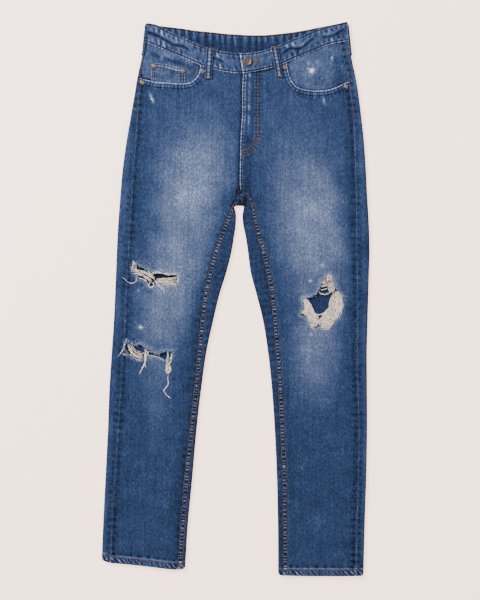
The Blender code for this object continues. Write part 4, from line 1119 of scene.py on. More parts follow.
def back_marks(side, x, y, round_leg):
    # Faded along the folded edges, darker flat underneath
    marks = blank_marks(x, 0.28 + 0.03 * cloudy(x, y, 60, 41))
    tone = marks["tone"] + 0.06 * soft_step((y - 100) / 260)
    under = (round_leg > 2) & (round_leg < 3.2)
    seat = bump(np.hypot((np.abs(x - 15) - 95) / 60, (y - 250) / 90), 1)
    knee = bump(np.hypot((np.abs(x - 5) - 165) / 40, (y - 20) / 60), 1)
    tone = np.where(under, tone + 0.16 * seat - 0.04 * knee, tone)
    away, run = near_path(x, y, seam_path(side, "outseam"))
    strip = round_leg < 2
    blotch = blotches(x, y, run)
    deep = 0.19 + 0.1 * soft_step((-250 - y) / 160) + 0.12 * soft_step((y - 300) / 60)
    edge = 0.24 * bump(away, 1.2) + 0.08 * bump(away - 14, 5)
    edge = edge - deep * blotch * bump(away - 4.5, 3.5)
    tone = np.where(strip, tone + edge, tone)
    away, run = near_path(x, y, seam_path(side, "inseam"))
    inner = round_leg > 3
    tone = np.where(inner, tone - 0.04 + 0.06 * ripple(run, 12, 43), tone)
    away_hem, run_hem = near_path(x, y, seam_path(side, "hem"))
    # The crotch's painted shade lies on the strips on top
    tone += hem_wear(away_hem, run_hem, 44) - np.where(under, 0, crotch_painted_shade(x, y))
    if side == "left":
        tone += np.where(inner, crossing(away_hem, x - inseam(side, y) - 4.9, 3.6), 0)
    marks["tone"] = tone
    # Under the small upper rip the threads keep the light out
    marks["shade"] = 0.22 * under * bump(np.hypot((x + 150) / 52, (y - 40) / 28), 1)
    mark_band(marks, x, y, seam_path(side, "hem"), 0, HEM_DEPTH, HEM_ROPE)
    if side == "left":
        mark_felled(marks, inner & (y < 184), away, run, y)
    # Underneath: the seat seam is felled to one side with two rows
    beside_seat = centre_back(y) - x
    mark(marks, np.where(under & (y > 195), 4 - np.abs(beside_seat - 6), NO_SEAM), y)
    return marks


print("left seat seam at the yoke, mm:", round(float(centre_back(YOKE_Y)), 1))

# %% Cutting the backs at the yoke seam
def back_pieces(side):
    upper = np.concatenate([
        [WAIST_Y + ALLOWANCE, WAIST_Y + 1.4], np.linspace(WAIST_Y, YOKE_Y, 26),
        [YOKE_Y - 1.4, YOKE_Y - ALLOWANCE],
    ])
    lower = np.concatenate([
        np.linspace(YOKE_Y, 206, 74),
        np.array([200.6, 198, 196, 193, 190, 187.5, 185, 181, 177, 173, 169, 164.5, 160, 155, 150]),
        stepped(146, HEM_REFERENCE[side], FINE_BANDS[side][-1:]),
    ])
    for name, ref, shift in (("back_yoke_", upper, 0.5), ("back_panel_", lower, -0.5)):
        x, y, z, round_leg = back_grid(side, ref)
        # Above the waist seam and under the panel's top edge the yoke's allowances move
        # inwards, round the side fold too, so that no light shows through a seam
        sunk = soft_step((ref - WAIST_Y) / 1.4)
        if name == "back_yoke_":
            sunk = sunk + soft_step((YOKE_Y - ref) / 1.4)
        sunk = ALLOWANCE_DROP * sunk[:, None]
        angle = math.pi * (1 - np.clip(round_leg - 1, 0, 1))
        x = x - OUT[side] * sunk * np.sin(angle)
        z = z + sunk * np.cos(angle) * (1 + np.cos(0.5 * angle))
        row = 0 if shift < 0 else -3
        y[row] += shift * SEAM_GAP
        # The hem's corners are worn round
        ends = bump(x - x.min(axis=1, keepdims=True), 2.6)
        ends = ends + bump(x - x.max(axis=1, keepdims=True), 2.6)
        y = y + 3 * ends * soft_step((HEM_REFERENCE[side] + 8 - ref) / 8)[:, None]
        z = back_relief(side, x, y, z, round_leg)
        marks = back_marks(side, x, y, round_leg)
        under = (round_leg > 2) & (round_leg < 3.2)
        # Two rows of sewing along the yoke seam
        seam_y = y[row][None, :]
        away = np.abs(y - seam_y)
        mark(marks, np.where(under & (shift < 0), 4 - np.abs(away - 6), NO_SEAM), x)
        hem = np.repeat((ref < HEM_REFERENCE[side] + HEM_DEPTH + 0.6)[:, None], x.shape[1], 1)
        shell(name + side, x, y, z, DENIM, marks, flip=side == "left", hem=hem if shift < 0 else None)


for side in OUT:
    back_pieces(side)

# %% [markdown]
# ## Waistband
# The band is one long strip folded double. It starts at the lapping end over the fly, goes
# round the right side, along the back and round the left side to the end that lies under. The
# back of the band shows its inside above the front one, in the shade.

# %% Height of the laid waistband
BAND_CLOTH = 2.2
BAND_LAY = 7.8
BAND_ENDS = (-172, 215)
LAP_END_X = 46
# Creases along its middle: start x, end x, depth
BAND_CREASES = ((-172, -84, 0.9), (-52, -18, 0.7), (84, 152, 0.9), (160, 212, 0.8))


def crease(x, start, end):
    """1 along a crease, 0 past its ends."""
    return soft_step((x - start) / 10) * soft_step((end - x) / 10)


def band_lay(x, share, lapped):
    """Height of the front waistband's outer face. Share runs from its lower to its top edge."""
    height = BAND_LAY + 0 * x
    if lapped:
        height = height + (BAND_CLOTH + 0.6) * (1 - soft_step((x - LAP_END_X - 9) / 30))
    wander = 0.5 + 0.07 * ripple(x, 46, 5)
    middle, beside_it = bump(share - wander, 0.11), bump(share - wander + 0.24, 0.13)
    for start, end, depth in BAND_CREASES:
        height = height + depth * (0.3 * beside_it - middle) * crease(x, start, end)
    return height


print("the lap lies", round(float(band_lay(20, 0, True)), 1), "mm high")

# %% Waistband as one strip
# It leans outwards at its lower edge, and its lapping end slants
BAND_CENTRE_X = 20
BAND_LEAN = 4
LAP_START_X = 8
LAP_SLANT = 6


def band_plan(x, share, back):
    front = blend(front_low(x), read(WAIST_LINES, 1, x), share)
    behind = blend(back_low(x), read(WAIST_LINES, 3, x), share)
    return np.where(back, behind, front)


def band_shear(x):
    left, right = BAND_ENDS
    leftward = -BAND_LEAN * soft_step((BAND_CENTRE_X - x) / (BAND_CENTRE_X - left))
    rightward = BAND_LEAN * soft_step((x - BAND_CENTRE_X) / (right - BAND_CENTRE_X))
    return np.where(x < BAND_CENTRE_X, leftward, rightward)


def band_columns(x, share, height, back=False, lap_end=0):
    lower = 1 - share
    px = x + band_shear(x) * (lower - 0.5) + lap_end * lower
    return px, band_plan(px, share, back), height(px, share)


def band_fold(edge_x, out, share, steps=22):
    radius = BAND_LAY / 2
    angle = math.pi * np.linspace(0, 1, steps + 2)[1:-1]
    angle = (math.pi - angle if out > 0 else angle)[None, :]
    x = edge_x - out * radius + out * radius * np.sin(angle)
    x = x + band_shear(np.array(edge_x)) * (0.5 - share)
    front, behind = band_plan(x, share, False), band_plan(x, share, True)
    y = blend(front, behind, 0.5 + 0.5 * np.cos(angle))
    return x, y, radius - radius * np.cos(angle) + 0 * share


def behind_height(x, share):
    """The back of the band, gathered into upright puckers and lifted over the middle loop."""
    wave = np.clip(0.5 + 0.5 * ripple(x, 17, 51), 0, 1)
    over_loop = 1 - soft_step((np.abs(x - BAND_CENTRE_X) - 24) / 14)
    ends = soft_step((x + 158) / 14) * soft_step((201 - x) / 14)
    return np.maximum(0.9 * wave * ends, SEAT_RAISE * over_loop)


print("the band starts at x", LAP_START_X, "and ends under itself at x", LAP_END_X)

# %% Wear of the waistband
def band_marks(x, y, z, share, lengths):
    """Tone and sewing of the band; lengths counts its five stretches from the lapping end."""
    behind = (lengths > 0.5) & (lengths < 3.5)
    run = np.where(behind, 2000 + x, x)
    tone = 0.36 + 0.04 * cloudy(x, y, 40, 53) + 0.06 * cloudy(x, y, 13, 58)
    tone += 0.08 * bump(share - 0.5, 0.3) - 0.02 * soft_step((x - 20) / 120)
    # Worn ridges beside the rows of sewing, a ladder of small puckers, and a pale rubbed edge
    dash = np.clip(0.6 + 0.7 * ripple(run, 7.5, 54), 0, 1.2)
    tone += 0.14 * dash * (bump(share - 0.14, 0.04) + bump(share - 0.87, 0.04))
    ladder = ripple(run + 9 * share, 9.5, 57)
    tone += 0.2 * ladder * (bump(share - 0.24, 0.1) + bump(share - 0.76, 0.1))
    tone += (0.2 + 0.14 * dash) * bump(share - 1, 0.04)
    tone += (0.36 + 0.1 * dash) * bump(share, 0.035)
    # The creases on the front stretches: painted shade in their hollows, painted light on the ridge
    # beside them
    wander = 0.07 * ripple(x, 46, 5)
    middle, beside_it = bump(share - 0.5 - wander, 0.06), bump(share - 0.68 - wander, 0.08)
    for start, end, depth in BAND_CREASES:
        change = (0.16 * beside_it - 0.5 * depth * middle) * crease(x, start, end)
        tone += np.where(behind, 0, change)
    # The lapping end: its edge is rubbed pale and shades the end that lies under it
    past_end = x - (LAP_START_X + LAP_SLANT * (1 - share))
    tone += np.where(lengths < 0.5, 0.5 * bump(past_end, 1.9), 0)
    tone -= np.where(lengths > 3.5, 0.26 * bump(past_end, 5), 0)
    # The inside of the back, gathered into upright puckers, in painted shade, with painted light on the
    # pucker tops, strongest towards its top edge
    gathered = 0.5 + 0.5 * np.sin(math.tau * (x / 13.6 + 0.3 * ripple(x, 70, 51)))
    gathered = np.clip(gathered + 0.25 * ripple(x + 6 * share, 6, 55), 0, 1.2)
    lit = 0.15 + 0.36 * gathered**1.5 * (0.35 + 0.65 * bump(share - 0.8, 0.3))
    tone = np.where(behind & (z < 3), lit + 0.04 * cloudy(x, y, 12, 56), tone)
    seam = 0.55 - np.minimum(np.abs(share - 0.065), np.abs(share - 0.94)) * BAND_HEIGHT
    return dict(tone=tone, seam=seam, run=run, rope=np.ones(x.shape))


# %% Sewing the strip into a band
def waistband():
    left, right = BAND_ENDS
    first, last = left + BAND_LAY / 2 + 2, right - BAND_LAY / 2 - 2
    share = np.concatenate([np.linspace(0, 0.14, 6)[:-1], np.linspace(0.14, 0.86, 15),
                            np.linspace(0.86, 1, 6)[1:]])[:, None]

    def relief(x, part):
        rows = 0.22 * ripple(x, 8.5, 52) * (bump(part - 0.12, 0.1) + bump(part - 0.9, 0.1))
        return rows - 0.3 * (bump(part - 0.07, 0.035) + bump(part - 0.94, 0.035))

    def lapping(x, part):
        return band_lay(x, part, True) + relief(x, part)

    def lying_under(x, part):
        return band_lay(x, part, False) + relief(x, part)

    lap = np.concatenate([np.linspace(LAP_START_X, 16, 9)[:-1], np.linspace(16, last, 112)])
    end = LAP_SLANT * (1 - soft_step((lap - LAP_START_X) / 40))
    back = np.linspace(last, first, 170)
    under = np.linspace(first, LAP_END_X, 118)
    parts = (
        band_columns(lap[None, :], share, lapping, lap_end=end[None, :]),
        band_fold(right, 1, share),
        band_columns(back[None, :], share, behind_height, True),
        band_fold(left, -1, share),
        band_columns(under[None, :], share, lying_under),
    )
    x, y, z = [np.concatenate(axis, axis=1) for axis in zip(*parts)]
    counts = [part[0].shape[1] for part in parts]
    lengths = np.repeat([0, 1, 2, 3, 4], counts)[None, :] + 0 * x
    share = share + 0 * x
    marks = band_marks(x, y, z, share, lengths)
    shell("waistband", x, y, z, BAND_CLOTH, marks, flip=True)


waistband()

# %% [markdown]
# ## Pockets and loops
# In each front pocket's opening the facing shows, set back by the pocket's own thickness. The
# coin pocket sits on the left facing. Belt loops are narrow strips with a pale worn middle and
# two rows of sewing. Back pockets are flat, because the jeans lie on them.

# %% Height of a pocket facing
FACING_DROP = {"left": 3.5, "right": 1.8}


def pocket_y(side, x):
    """The pocket opening's edge at one x."""
    path = sorted(POCKET_CURVES[side][1:])
    return np.interp(x, [p[0] for p in path], [p[1] for p in path], left=600, right=600)


def facing_height(side, x, y):
    """Outer face of a pocket facing: flush at the waist, tucked under the front's edge."""
    away, _ = near_path(x, y, POCKET_CURVES[side][1:])
    away = np.where(y < pocket_y(side, x), -1, away)
    return lay(side, x, y) - FACING_DROP[side] * (1 - soft_step((away - 5) / 12))


facing_z = facing_height("left", np.array([-120]), np.array([430]))[0]
print("the left facing lies", round(float(facing_z), 1), "mm high")

# %% Facings and the coin pocket
FACING_LOWER = {
    "left": ((-180, 404), (-150, 400), (-115, 397), (-96, 397), (-86, 400), (-77, 405), (-66, 417)),
    "right": ((99, 420), (108, 399), (120, 390), (136, 386), (152, 384.5), (185, 387), (216, 399)),
}
FACING_ENDS = {"left": -62, "right": 94}
COIN_TOP = ((-160, 448.5), (-134, 446), (-115, 441), (-95, 436.5))
COIN_LOWER_Y = 401


def pocket_facing(side):
    columns, rows = 86, 46
    share = np.linspace(0, 1, columns + 1)
    if side == "right":
        share = 1 - share
    down, share = grid(np.linspace(0, 1, rows + 1), share)

    def y_at(x):
        top = front_low(x) - WAIST_GAP + ALLOWANCE
        return blend(top, read(FACING_LOWER[side], 1, x), down)

    def x_at(y):
        return blend(outseam(side, y) - OUT[side] * SEAM_GAP, FACING_ENDS[side], share)

    x, y = settled(x_at, y_at, 450)
    z = facing_height(side, x, y) - tucked(x, y)
    edge, _ = near_path(x, y, POCKET_CURVES[side])
    hollow = bump(near_line(x, y, -157, 465, -86, 440), 4) if side == "left" else 0
    z = z - 0.35 * hollow + 0.1 * cloudy(x, y, 22, 61)
    marks = blank_marks(x, 0.47 + 0.05 * cloudy(x, y, 26, 62) + 0.03 * cloudy(x, y, 9, 65))
    # On the right facing: a painted light in its upper middle, a painted shade in its lower right corner,
    # and the whole a little darker
    if side == "right":
        lit = 0.1 * bump(np.hypot(x - 150, y - 440) / 40, 1)
        in_shade = 0.12 * bump(np.hypot((x - 196) / 20, (y - 428) / 34), 1)
        marks["tone"] += lit - in_shade - 0.03
    # The fold's hollow and the strip tucked under the front's pocket edge get painted shade
    marks["tone"] += fade(x, y) - 0.35 - 0.22 * hollow - 0.26 * bump(edge, 3)
    shell("pocket_facing_" + side, x, y, z, DENIM, marks)


def coin_pocket():
    columns, rows = 46, 32
    down, across = grid(np.linspace(0, 1, rows + 1), np.linspace(0, 1, columns + 1))
    x = blend(COIN_TOP[0][0], COIN_TOP[-1][0], across)
    y = blend(read(COIN_TOP, 1, x), COIN_LOWER_Y, down)
    z = facing_height("left", x, y) + 1.3 + REST_GAP + 0.2
    top = line_of(x[0], y[0])
    left, right = line_of(x[:, 0], y[:, 0]), line_of(x[:, -1], y[:, -1])
    marks = blank_marks(x, 0.475 + 0.05 * cloudy(x, y, 20, 63))
    for path, offset, half in ((top, 5, 2.6), (left, 4, 2.2), (right, 6.5, 2.8)):
        away, run = mark_band(marks, x, y, path, offset, half)
        z = z - 0.2 * bump(away - offset + half, 1) - 0.2 * bump(away - offset - half, 1)
        z = z + 0.12 * puckers(away, run, 6, 9, 64)
        marks["tone"] += 0.14 * bump(away, 1.4)
    # Its top hem is rubbed pale between the rows; below them a painted shade where it gapes, and a
    # painted shadow along its foot on the right
    away, run = near_path(x, y, top)
    hem = 0.16 * bump(away - 4.8, 1.6) * (1 + 0.5 * ripple(run, 8, 66))
    gape_shade = 0.22 * bump(away - 10.4, 1.7) * bump(x + 122, 22)
    foot_shadow = 0.2 * bump(y - 406, 3) * soft_step((x + 135) / 14)
    marks["tone"] += hem - gape_shade - foot_shadow
    shell("coin_pocket", x, y, z, DENIM, marks)


for side in OUT:
    pocket_facing(side)
coin_pocket()

# %% Belt loops
LOOP_CLOTH = 1.4
LOOP_WIDTH = 11.4
LOOP_LENGTH = 58
LOOP_ARCH = 1.2
# The front loops are drawn as wide as they look in the photo, worn flat at their edges
FRONT_LOOP_WIDTH = 12.8
FRONT_LOOPS = {"left": ((-48.5, 476.5), (-52, 418.5)), "right": ((74, 478.5), (84, 422))}


def loop_marks(across, run, y):
    """A loop's wear: pale in the middle, with two rows of sewing. Across runs from -1 to 1."""
    tone = 0.32 + 0.26 * bump(across, 0.4) + 0.06 * ripple(run, 9, 71)
    tone += 0.3 * bump(np.abs(across) - 1, 0.16)
    seam = 0.5 - np.abs(np.abs(across) - 0.66) * LOOP_WIDTH / 2
    return dict(tone=tone, seam=seam, run=run + 0 * y, rope=np.ones(y.shape))


def front_loop(side):
    (x0, y0), (x1, y1) = FRONT_LOOPS[side]
    along, across = grid(np.linspace(0, 1, 41), np.linspace(-1, 1, 13))
    cx, cy = blend(x0, x1, along), blend(y0, y1, along)
    on_band = soft_step((cy - front_low(cx) + 9) / 8)
    base = blend(LAY, band_lay(cx - LOOP_WIDTH / 2, 0, side == "right"), on_band)
    z = base + REST_GAP + 1.5 + LOOP_ARCH * np.sin(math.pi * along) ** 0.7 + 0.2
    z = z + 0.25 * (1 - np.abs(across)) - 0.25 * bump(np.abs(across) - 0.66, 0.1)
    x = cx + across * FRONT_LOOP_WIDTH / 2 * (1 + 0.03 * ripple(along * LOOP_LENGTH, 24, 72))
    marks = loop_marks(across, along * LOOP_LENGTH, cy)
    shell("belt_loop_front_" + side, x, cy, z, LOOP_CLOTH, marks)


def band_edge(side, y):
    low, high = (-174, -170) if side == "left" else (217, 213)
    return blend(low, high, (y - 488) / 36)


def side_loop(side):
    out = OUT[side]
    reach = REST_GAP + 0.35 + 1.5
    along, round_it = grid(np.linspace(0, 1, 37), np.linspace(0, 1, 15))
    y = blend(522, 522 - LOOP_LENGTH, along)
    on_band = soft_step((y - 474) / 8)
    edge = blend(outer_edge(side, y), band_edge(side, y), on_band)
    radius = blend(LAY, BAND_LAY, on_band) / 2
    angle = np.radians(blend(-30, 62 + 16 * soft_step(along / 0.5), round_it))
    x = edge - out * radius + out * (radius + reach) * np.cos(angle)
    z = radius + (radius + reach) * np.sin(angle)
    marks = loop_marks(2 * round_it - 1, along * LOOP_LENGTH, y)
    shell("belt_loop_side_" + side, x, y, z, LOOP_CLOTH, marks, flip=side == "right")


print("front loops are", FRONT_LOOP_WIDTH, "mm wide, the others", LOOP_WIDTH)

# %% Flat pieces on the underside: back pockets and the middle loop
BACK_POCKET = ((-68, 70), (68, 70), (65, -50), (0, -72), (-65, -50))
BACK_POCKET_CENTRES = {"left": (-92, 295), "right": (122, 295)}
LOOP_TOP = 501


def flat_underside(name, outline, columns, rows, sewn):
    """A flat piece under the garment, its outer face down on the floor."""
    xs, ys = [p[0] for p in outline], [p[1] for p in outline]
    down, across = grid(np.linspace(0, 1, rows + 1), np.linspace(0, 1, columns + 1))
    y_top, y_low = max(ys), min(ys)
    if len(outline) == 5:
        # The pocket narrows downwards, and its lower edge runs to a point in the middle
        aside = 2 * across - 1
        x = 0.5 * (min(xs) + max(xs)) + aside * blend(68, 65, down)
        y = blend(y_top, blend(outline[2][1], y_low, 1 - np.abs(aside)), down)
    else:
        x = blend(min(xs), max(xs), across)
        y = blend(y_top, y_low, down)
    closed = tuple(outline) + (outline[0],)
    marks = blank_marks(x, 0.38 + 0.04 * cloudy(x, y, 30, 73))
    away, run = mark_band(marks, x, y, closed, sewn, 0.5 if sewn < 2 else 2.6)
    marks["tone"] += 0.22 * bump(away, 1.4) + 0.1 * ripple(run, 9, 74) * bump(away - 5, 4)
    z = 0.12 * (1 + ripple(run, 12, 75)) * bump(away - 5, 4)
    shell(name, x, y, z, DENIM, marks, flip=True)


# One side's loops and back pocket, then the other's
for side, (cx, cy) in BACK_POCKET_CENTRES.items():
    front_loop(side)
    side_loop(side)
    outline = tuple((cx + x, cy + y) for x, y in BACK_POCKET)
    flat_underside("back_pocket_" + side, outline, 60, 58, 4.6)
half = LOOP_WIDTH / 2
back_loop = (
    (BAND_CENTRE_X - half, LOOP_TOP - LOOP_LENGTH), (BAND_CENTRE_X + half, LOOP_TOP - LOOP_LENGTH),
    (BAND_CENTRE_X + half, LOOP_TOP), (BAND_CENTRE_X - half, LOOP_TOP),
)
flat_underside("belt_loop_back", back_loop, 10, 40, 1.9)
print("pieces so far:", len(pieces))

# %% [markdown]
# ## Sewing
# A jeans topstitch is a heavy cotton thread, about 0.9 mm across, with stitches a little over
# 3 mm long. Thousands of equal stitches are a job for Geometry Nodes: the path of a row is a
# curve laid on the cloth, and the tree sets a small spindle at each step, turned along the
# row. The result is then kept as a plain mesh. The thread is drawn 1.1 mm thick, because its
# real width is under half a pixel here.

# %% Laying a path on the cloth
bpy.context.view_layer.update()
graph = bpy.context.evaluated_depsgraph_get()
TREES = {key: BVHTree.FromObject(piece, graph) for key, piece in pieces.items()}


def touch(x, y, below=False, only=None):
    """Height of the cloth at a place in millimetres, seen from above or from below."""
    start = Vector((x * MM, y * MM, -0.02 if below else 0.05))
    heading = Vector((0, 0, 1 if below else -1))
    found = []
    for key in only or TREES:
        spot = TREES[key].ray_cast(start, heading)[0]
        if spot is not None:
            found.append(spot.z / MM)
    if not found:
        return None
    return min(found) if below else max(found)


def evenly(path, count=None, step=1.6):
    """A path of any number of coordinates as evenly spaced points: so many, or a step apart."""
    path = np.array(path, float)
    gaps = np.hypot(*(path[1:, :2] - path[:-1, :2]).T)
    run = np.concatenate([[0], np.cumsum(gaps)])
    at = np.linspace(0, run[-1], count or max(2, int(round(run[-1] / step)) + 1))
    return np.stack([np.interp(at, run, path[:, k]) for k in range(path.shape[1])], axis=1)


def left_of(path):
    """A step of 1 to the left of a path, at each of its points."""
    along = np.gradient(path, axis=0)
    length = np.maximum(np.hypot(along[:, 0], along[:, 1]), 1e-9)
    return np.stack([-along[:, 1], along[:, 0]], axis=1) / length[:, None]


def beside(path, offset):
    """A path moved sideways: to its left for a positive offset."""
    path = evenly(path, step=4)
    return path + offset * left_of(path)


def laid(path, below=False, lift=0.1, only=None):
    """A path with heights on the cloth, in short stretches where there is cloth."""
    stretches, current = [], []
    for x, y in evenly(path):
        z = touch(x, y, below, only)
        if z is None:
            stretches.append(current)
            current = []
        else:
            # Underneath, a row is pressed into the cloth that the jeans lie on
            current.append((x, y, max(z - lift, 0.45) if below else z + lift))
    stretches.append(current)
    return [np.array(s) for s in stretches if len(s) > 2]


print("cloth ready for sewing:", len(TREES), "pieces; at the knee it lies at",
      round(touch(120, -150), 2), "mm")

# %% From curves to a plain mesh
def curves_of(name, paths):
    data = bpy.data.curves.new(name, "CURVE")
    data.dimensions = "3D"
    for path in paths:
        spline = data.splines.new("POLY")
        spline.points.add(len(path) - 1)
        values = np.concatenate([np.asarray(path) * MM, np.ones((len(path), 1))], axis=1)
        spline.points.foreach_set("co", values.ravel().astype(np.float32))
    return linked(name, data)


def kept_mesh(source, name):
    """An object's evaluated shape as a plain mesh object; the source is removed."""
    bpy.context.view_layer.update()
    shape = source.evaluated_get(bpy.context.evaluated_depsgraph_get())
    mesh = bpy.data.meshes.new_from_object(shape)
    mesh.name = name
    bpy.data.objects.remove(source)
    mesh.shade_smooth()
    print(name, len(mesh.polygons), "faces")
    return linked(name, mesh)


def tubes(name, paths, radius, rounding):
    """Round tubes along paths, whose points can still be made thicker or thinner."""
    source = curves_of(name, paths)
    source.data.bevel_depth = radius * MM
    source.data.bevel_resolution = rounding
    source.data.use_fill_caps = True
    return source


def open_tree(name, values):
    """A tree with an input for each named value, and a point at each pitch of its curves."""
    tree = bpy.data.node_groups.new(name + "_tree", "GeometryNodeTree")
    face = tree.interface
    face.new_socket("Geometry", in_out="INPUT", socket_type="NodeSocketGeometry")
    keys = {}
    for label, value in values.items():
        kind = "NodeSocketFloat" if isinstance(value, float) else "NodeSocketObject"
        keys[label] = face.new_socket(label, in_out="INPUT", socket_type=kind).identifier
    face.new_socket("Geometry", in_out="OUTPUT", socket_type="NodeSocketGeometry")
    given = node(tree, "NodeGroupInput").outputs
    steps = node(tree, "GeometryNodeCurveToPoints", dict(mode="LENGTH"), i0=given[0],
                 Length=given["Pitch"])
    return tree, given, steps.outputs, keys


def close_tree(tree, points, shape, turn, size, finish):
    """Sets a shape at each point, makes it real mesh and gives it its finish."""
    placed = node(tree, "GeometryNodeInstanceOnPoints", Points=points, Instance=shape,
                  Rotation=turn, Scale=size)
    real = node(tree, "GeometryNodeRealizeInstances", Geometry=placed.outputs[0])
    finished = node(tree, "GeometryNodeSetMaterial", Geometry=real.outputs[0], Material=finish)
    node(tree, "NodeGroupOutput", i0=finished.outputs[0])


def along_paths(name, paths, tree, keys, values):
    """What the tree makes along the paths, as one plain mesh."""
    source = curves_of(name + "_paths", paths)
    rows = source.modifiers.new("Rows", "NODES")
    rows.node_group = tree
    for label, value in values.items():
        rows[keys[label]] = value
    return kept_mesh(source, name)


# %% Thread, in its colours
def thread_material(name, dark, light, scale=240, roughness=0.75, soiled=None):
    """Cotton thread: two shades in short stretches, as dye and wear leave it; a darker third shade, where
    given, puts spots of painted shade between the strands.
    """
    made, tree, shader = material(name, roughness=roughness)
    place = node(tree, "ShaderNodeTexCoord").outputs["Object"]
    patches = node(tree, "ShaderNodeTexNoise", Vector=place, Scale=scale, Detail=2, Roughness=0.6)
    spread = node(tree, "ShaderNodeMath", dict(operation="MULTIPLY_ADD"), i0=patches.outputs[0],
                  i1=2.2, i2=-0.6)
    stops = ((0, dark), (1, light))
    if soiled is not None:
        stops = ((0, soiled), (0.24, dark), (1, light))
    colour = node(tree, "ShaderNodeValToRGB", stops=stops, i0=spread.outputs[0])
    tree.links.new(colour.outputs["Color"], shader.inputs["Base Color"])
    shader.inputs["Specular IOR Level"].default_value = 0.2
    return made


BROWN = thread_material("topstitch_cotton_brown_worn", "120A0A", "442B24", 120)
RUST = thread_material("topstitch_cotton_rust", "643E16", "AA7838", 120)
HEM_RUST = thread_material("hem_cotton_rust_darkened", "4A2E08", "9C641A", 90)
TAN = thread_material("inseam_cotton_washed_out", "3C3434", "847878", 150)
TACK_RUST = thread_material("bartack_cotton_rust", "4C3216", "8E6432", 150)
# The crotch's bartacks are coloured dark as painted shade, as they lie in the seams' thick crossing
CROTCH_TACK_SHADE = thread_material("crotch_cotton_painted_shade", "1C1210", "5C3A2A", 150)
RUBBED = thread_material("topstitch_cotton_rust_soiled", "1A1010", "765030", 60)
print("threads:", ", ".join(m.name for m in (BROWN, RUST, HEM_RUST, TAN, TACK_RUST, CROTCH_TACK_SHADE, RUBBED)))

# %% The stitch tree: a small spindle at each step, turned along the row or across it
def sew(name, finish, paths, pitch=3.3, length=2.9, width=1.1, across=False):
    """Rows of stitches along paths, as one mesh."""
    values = {"Pitch": pitch * MM, "Stitch length": length * MM, "Thread width": width * MM}
    tree, given, steps, keys = open_tree(name, values)
    ball = node(tree, "GeometryNodeMeshUVSphere", Segments=6, Rings=4, Radius=0.5)
    size = node(tree, "ShaderNodeCombineXYZ", X=given["Stitch length"],
                Y=given["Thread width"], Z=given["Thread width"])
    spindle = node(tree, "GeometryNodeTransform", Geometry=ball.outputs[0], Scale=size.outputs[0])
    heading = node(tree, "FunctionNodeAlignRotationToVector", dict(axis="Y" if across else "X"),
                   Vector=steps["Tangent"])
    sway = node(tree, "FunctionNodeRandomValue", dict(data_type="FLOAT_VECTOR"), Seed=7,
                i0=(0.86, 0.85, 0.9), i1=(1.08, 1.15, 1.1))
    close_tree(tree, steps[0], spindle.outputs[0], heading.outputs[0], sway.outputs[0], finish)
    return along_paths(name, paths, tree, keys, values)


sewing = []
print("a stitch every 3.3 mm, 2.9 mm long")

# %% [markdown]
# ## Which rows go where
# Each seam was sewn in a rust or brown cotton, and wear took it different ways: nearly black
# on pockets, band and loops, washed out along the inseams, and still rust on the fly's curve,
# the hems, the coin pocket and every bartack, though those at the crotch are coloured dark as
# painted shade. Underneath lie the yoke, seat and back pocket rows, which only show when the
# jeans are turned over.

# %% Rows of sewing
def shifted_hem(side):
    low, high = (-251, -99) if side == "left" else (84, 240)
    xs = np.linspace(low, high, 40)
    return line_of(xs, read(HEM_LINES[side], 1, xs) + HEM_DEPTH)


def pocket_row(side, offset):
    path = POCKET_CURVES[side][1:]
    return beside(path, offset if side == "left" else -offset)


def band_row(share, low_x, high_x, back=False):
    xs = np.linspace(low_x, high_x, 120)
    px = xs + band_shear(xs) * (0.5 - share)
    return line_of(px, band_plan(px, share, back))


def inseam_row(side, outer):
    ys = np.linspace(184 if side == "left" else 198, HEM_REFERENCE[side] + 1, 90)
    return line_of(inseam(side, ys) + (felled_reach(ys) if outer else 0.9), ys)


brown_rows, rust_rows, under_rows, hem_rows, inseam_rows = [], [], [], [], []
for side, out in OUT.items():
    hem_rows += laid(shifted_hem(side))
    under_rows += laid(shifted_hem(side), below=True)
    inseam_rows += laid(inseam_row(side, False)) + laid(inseam_row(side, True))
    ys = np.linspace(484, 350, 90)
    rust_rows += laid(line_of(outseam(side, ys) + 1.3 * out, ys))
    for offset in (2.7, 9.5):
        brown_rows += laid(pocket_row(side, -offset), only=["front_panel_" + side])
for row in ((0.065, 12, 211), (0.94, 9, 211), (0.065, -169, 3), (0.94, -169, 6)):
    brown_rows += laid(band_row(*row))
hem_rows += laid(band_row(0.955, -160, 204, True), only=["waistband"])
for share in (0.065, 0.94):
    under_rows += laid(band_row(share, -166, 209, True), below=True)
rust_rows += laid(J_OUTER[:2]) + laid(J_INNER[:2])
curve_rows = laid(J_OUTER[1:]) + laid(J_INNER[1:])
brown_rows += laid(beside(FLY_PATH, 2.4)[:34]) + laid(BELOW_FLY)
brown_rows += laid(((5.8, 195), (5.7, 179.5))) + laid(((13.2, 195), (13.1, 179.5)))
for path in (
    ((-159, 446.2), (-134, 443.6), (-115, 438.7), (-97, 434.4)),
    ((-157, 441), (-134, 438.4), (-115, 433.6), (-99, 429.6)),
    ((-158.2, 445), (-158.2, 404)), ((-153.8, 441), (-153.8, 404)),
    ((-98.5, 434), (-98.5, 404)), ((-104, 430), (-104, 404)),
):
    rust_rows += laid(path, only=["coin_pocket"])
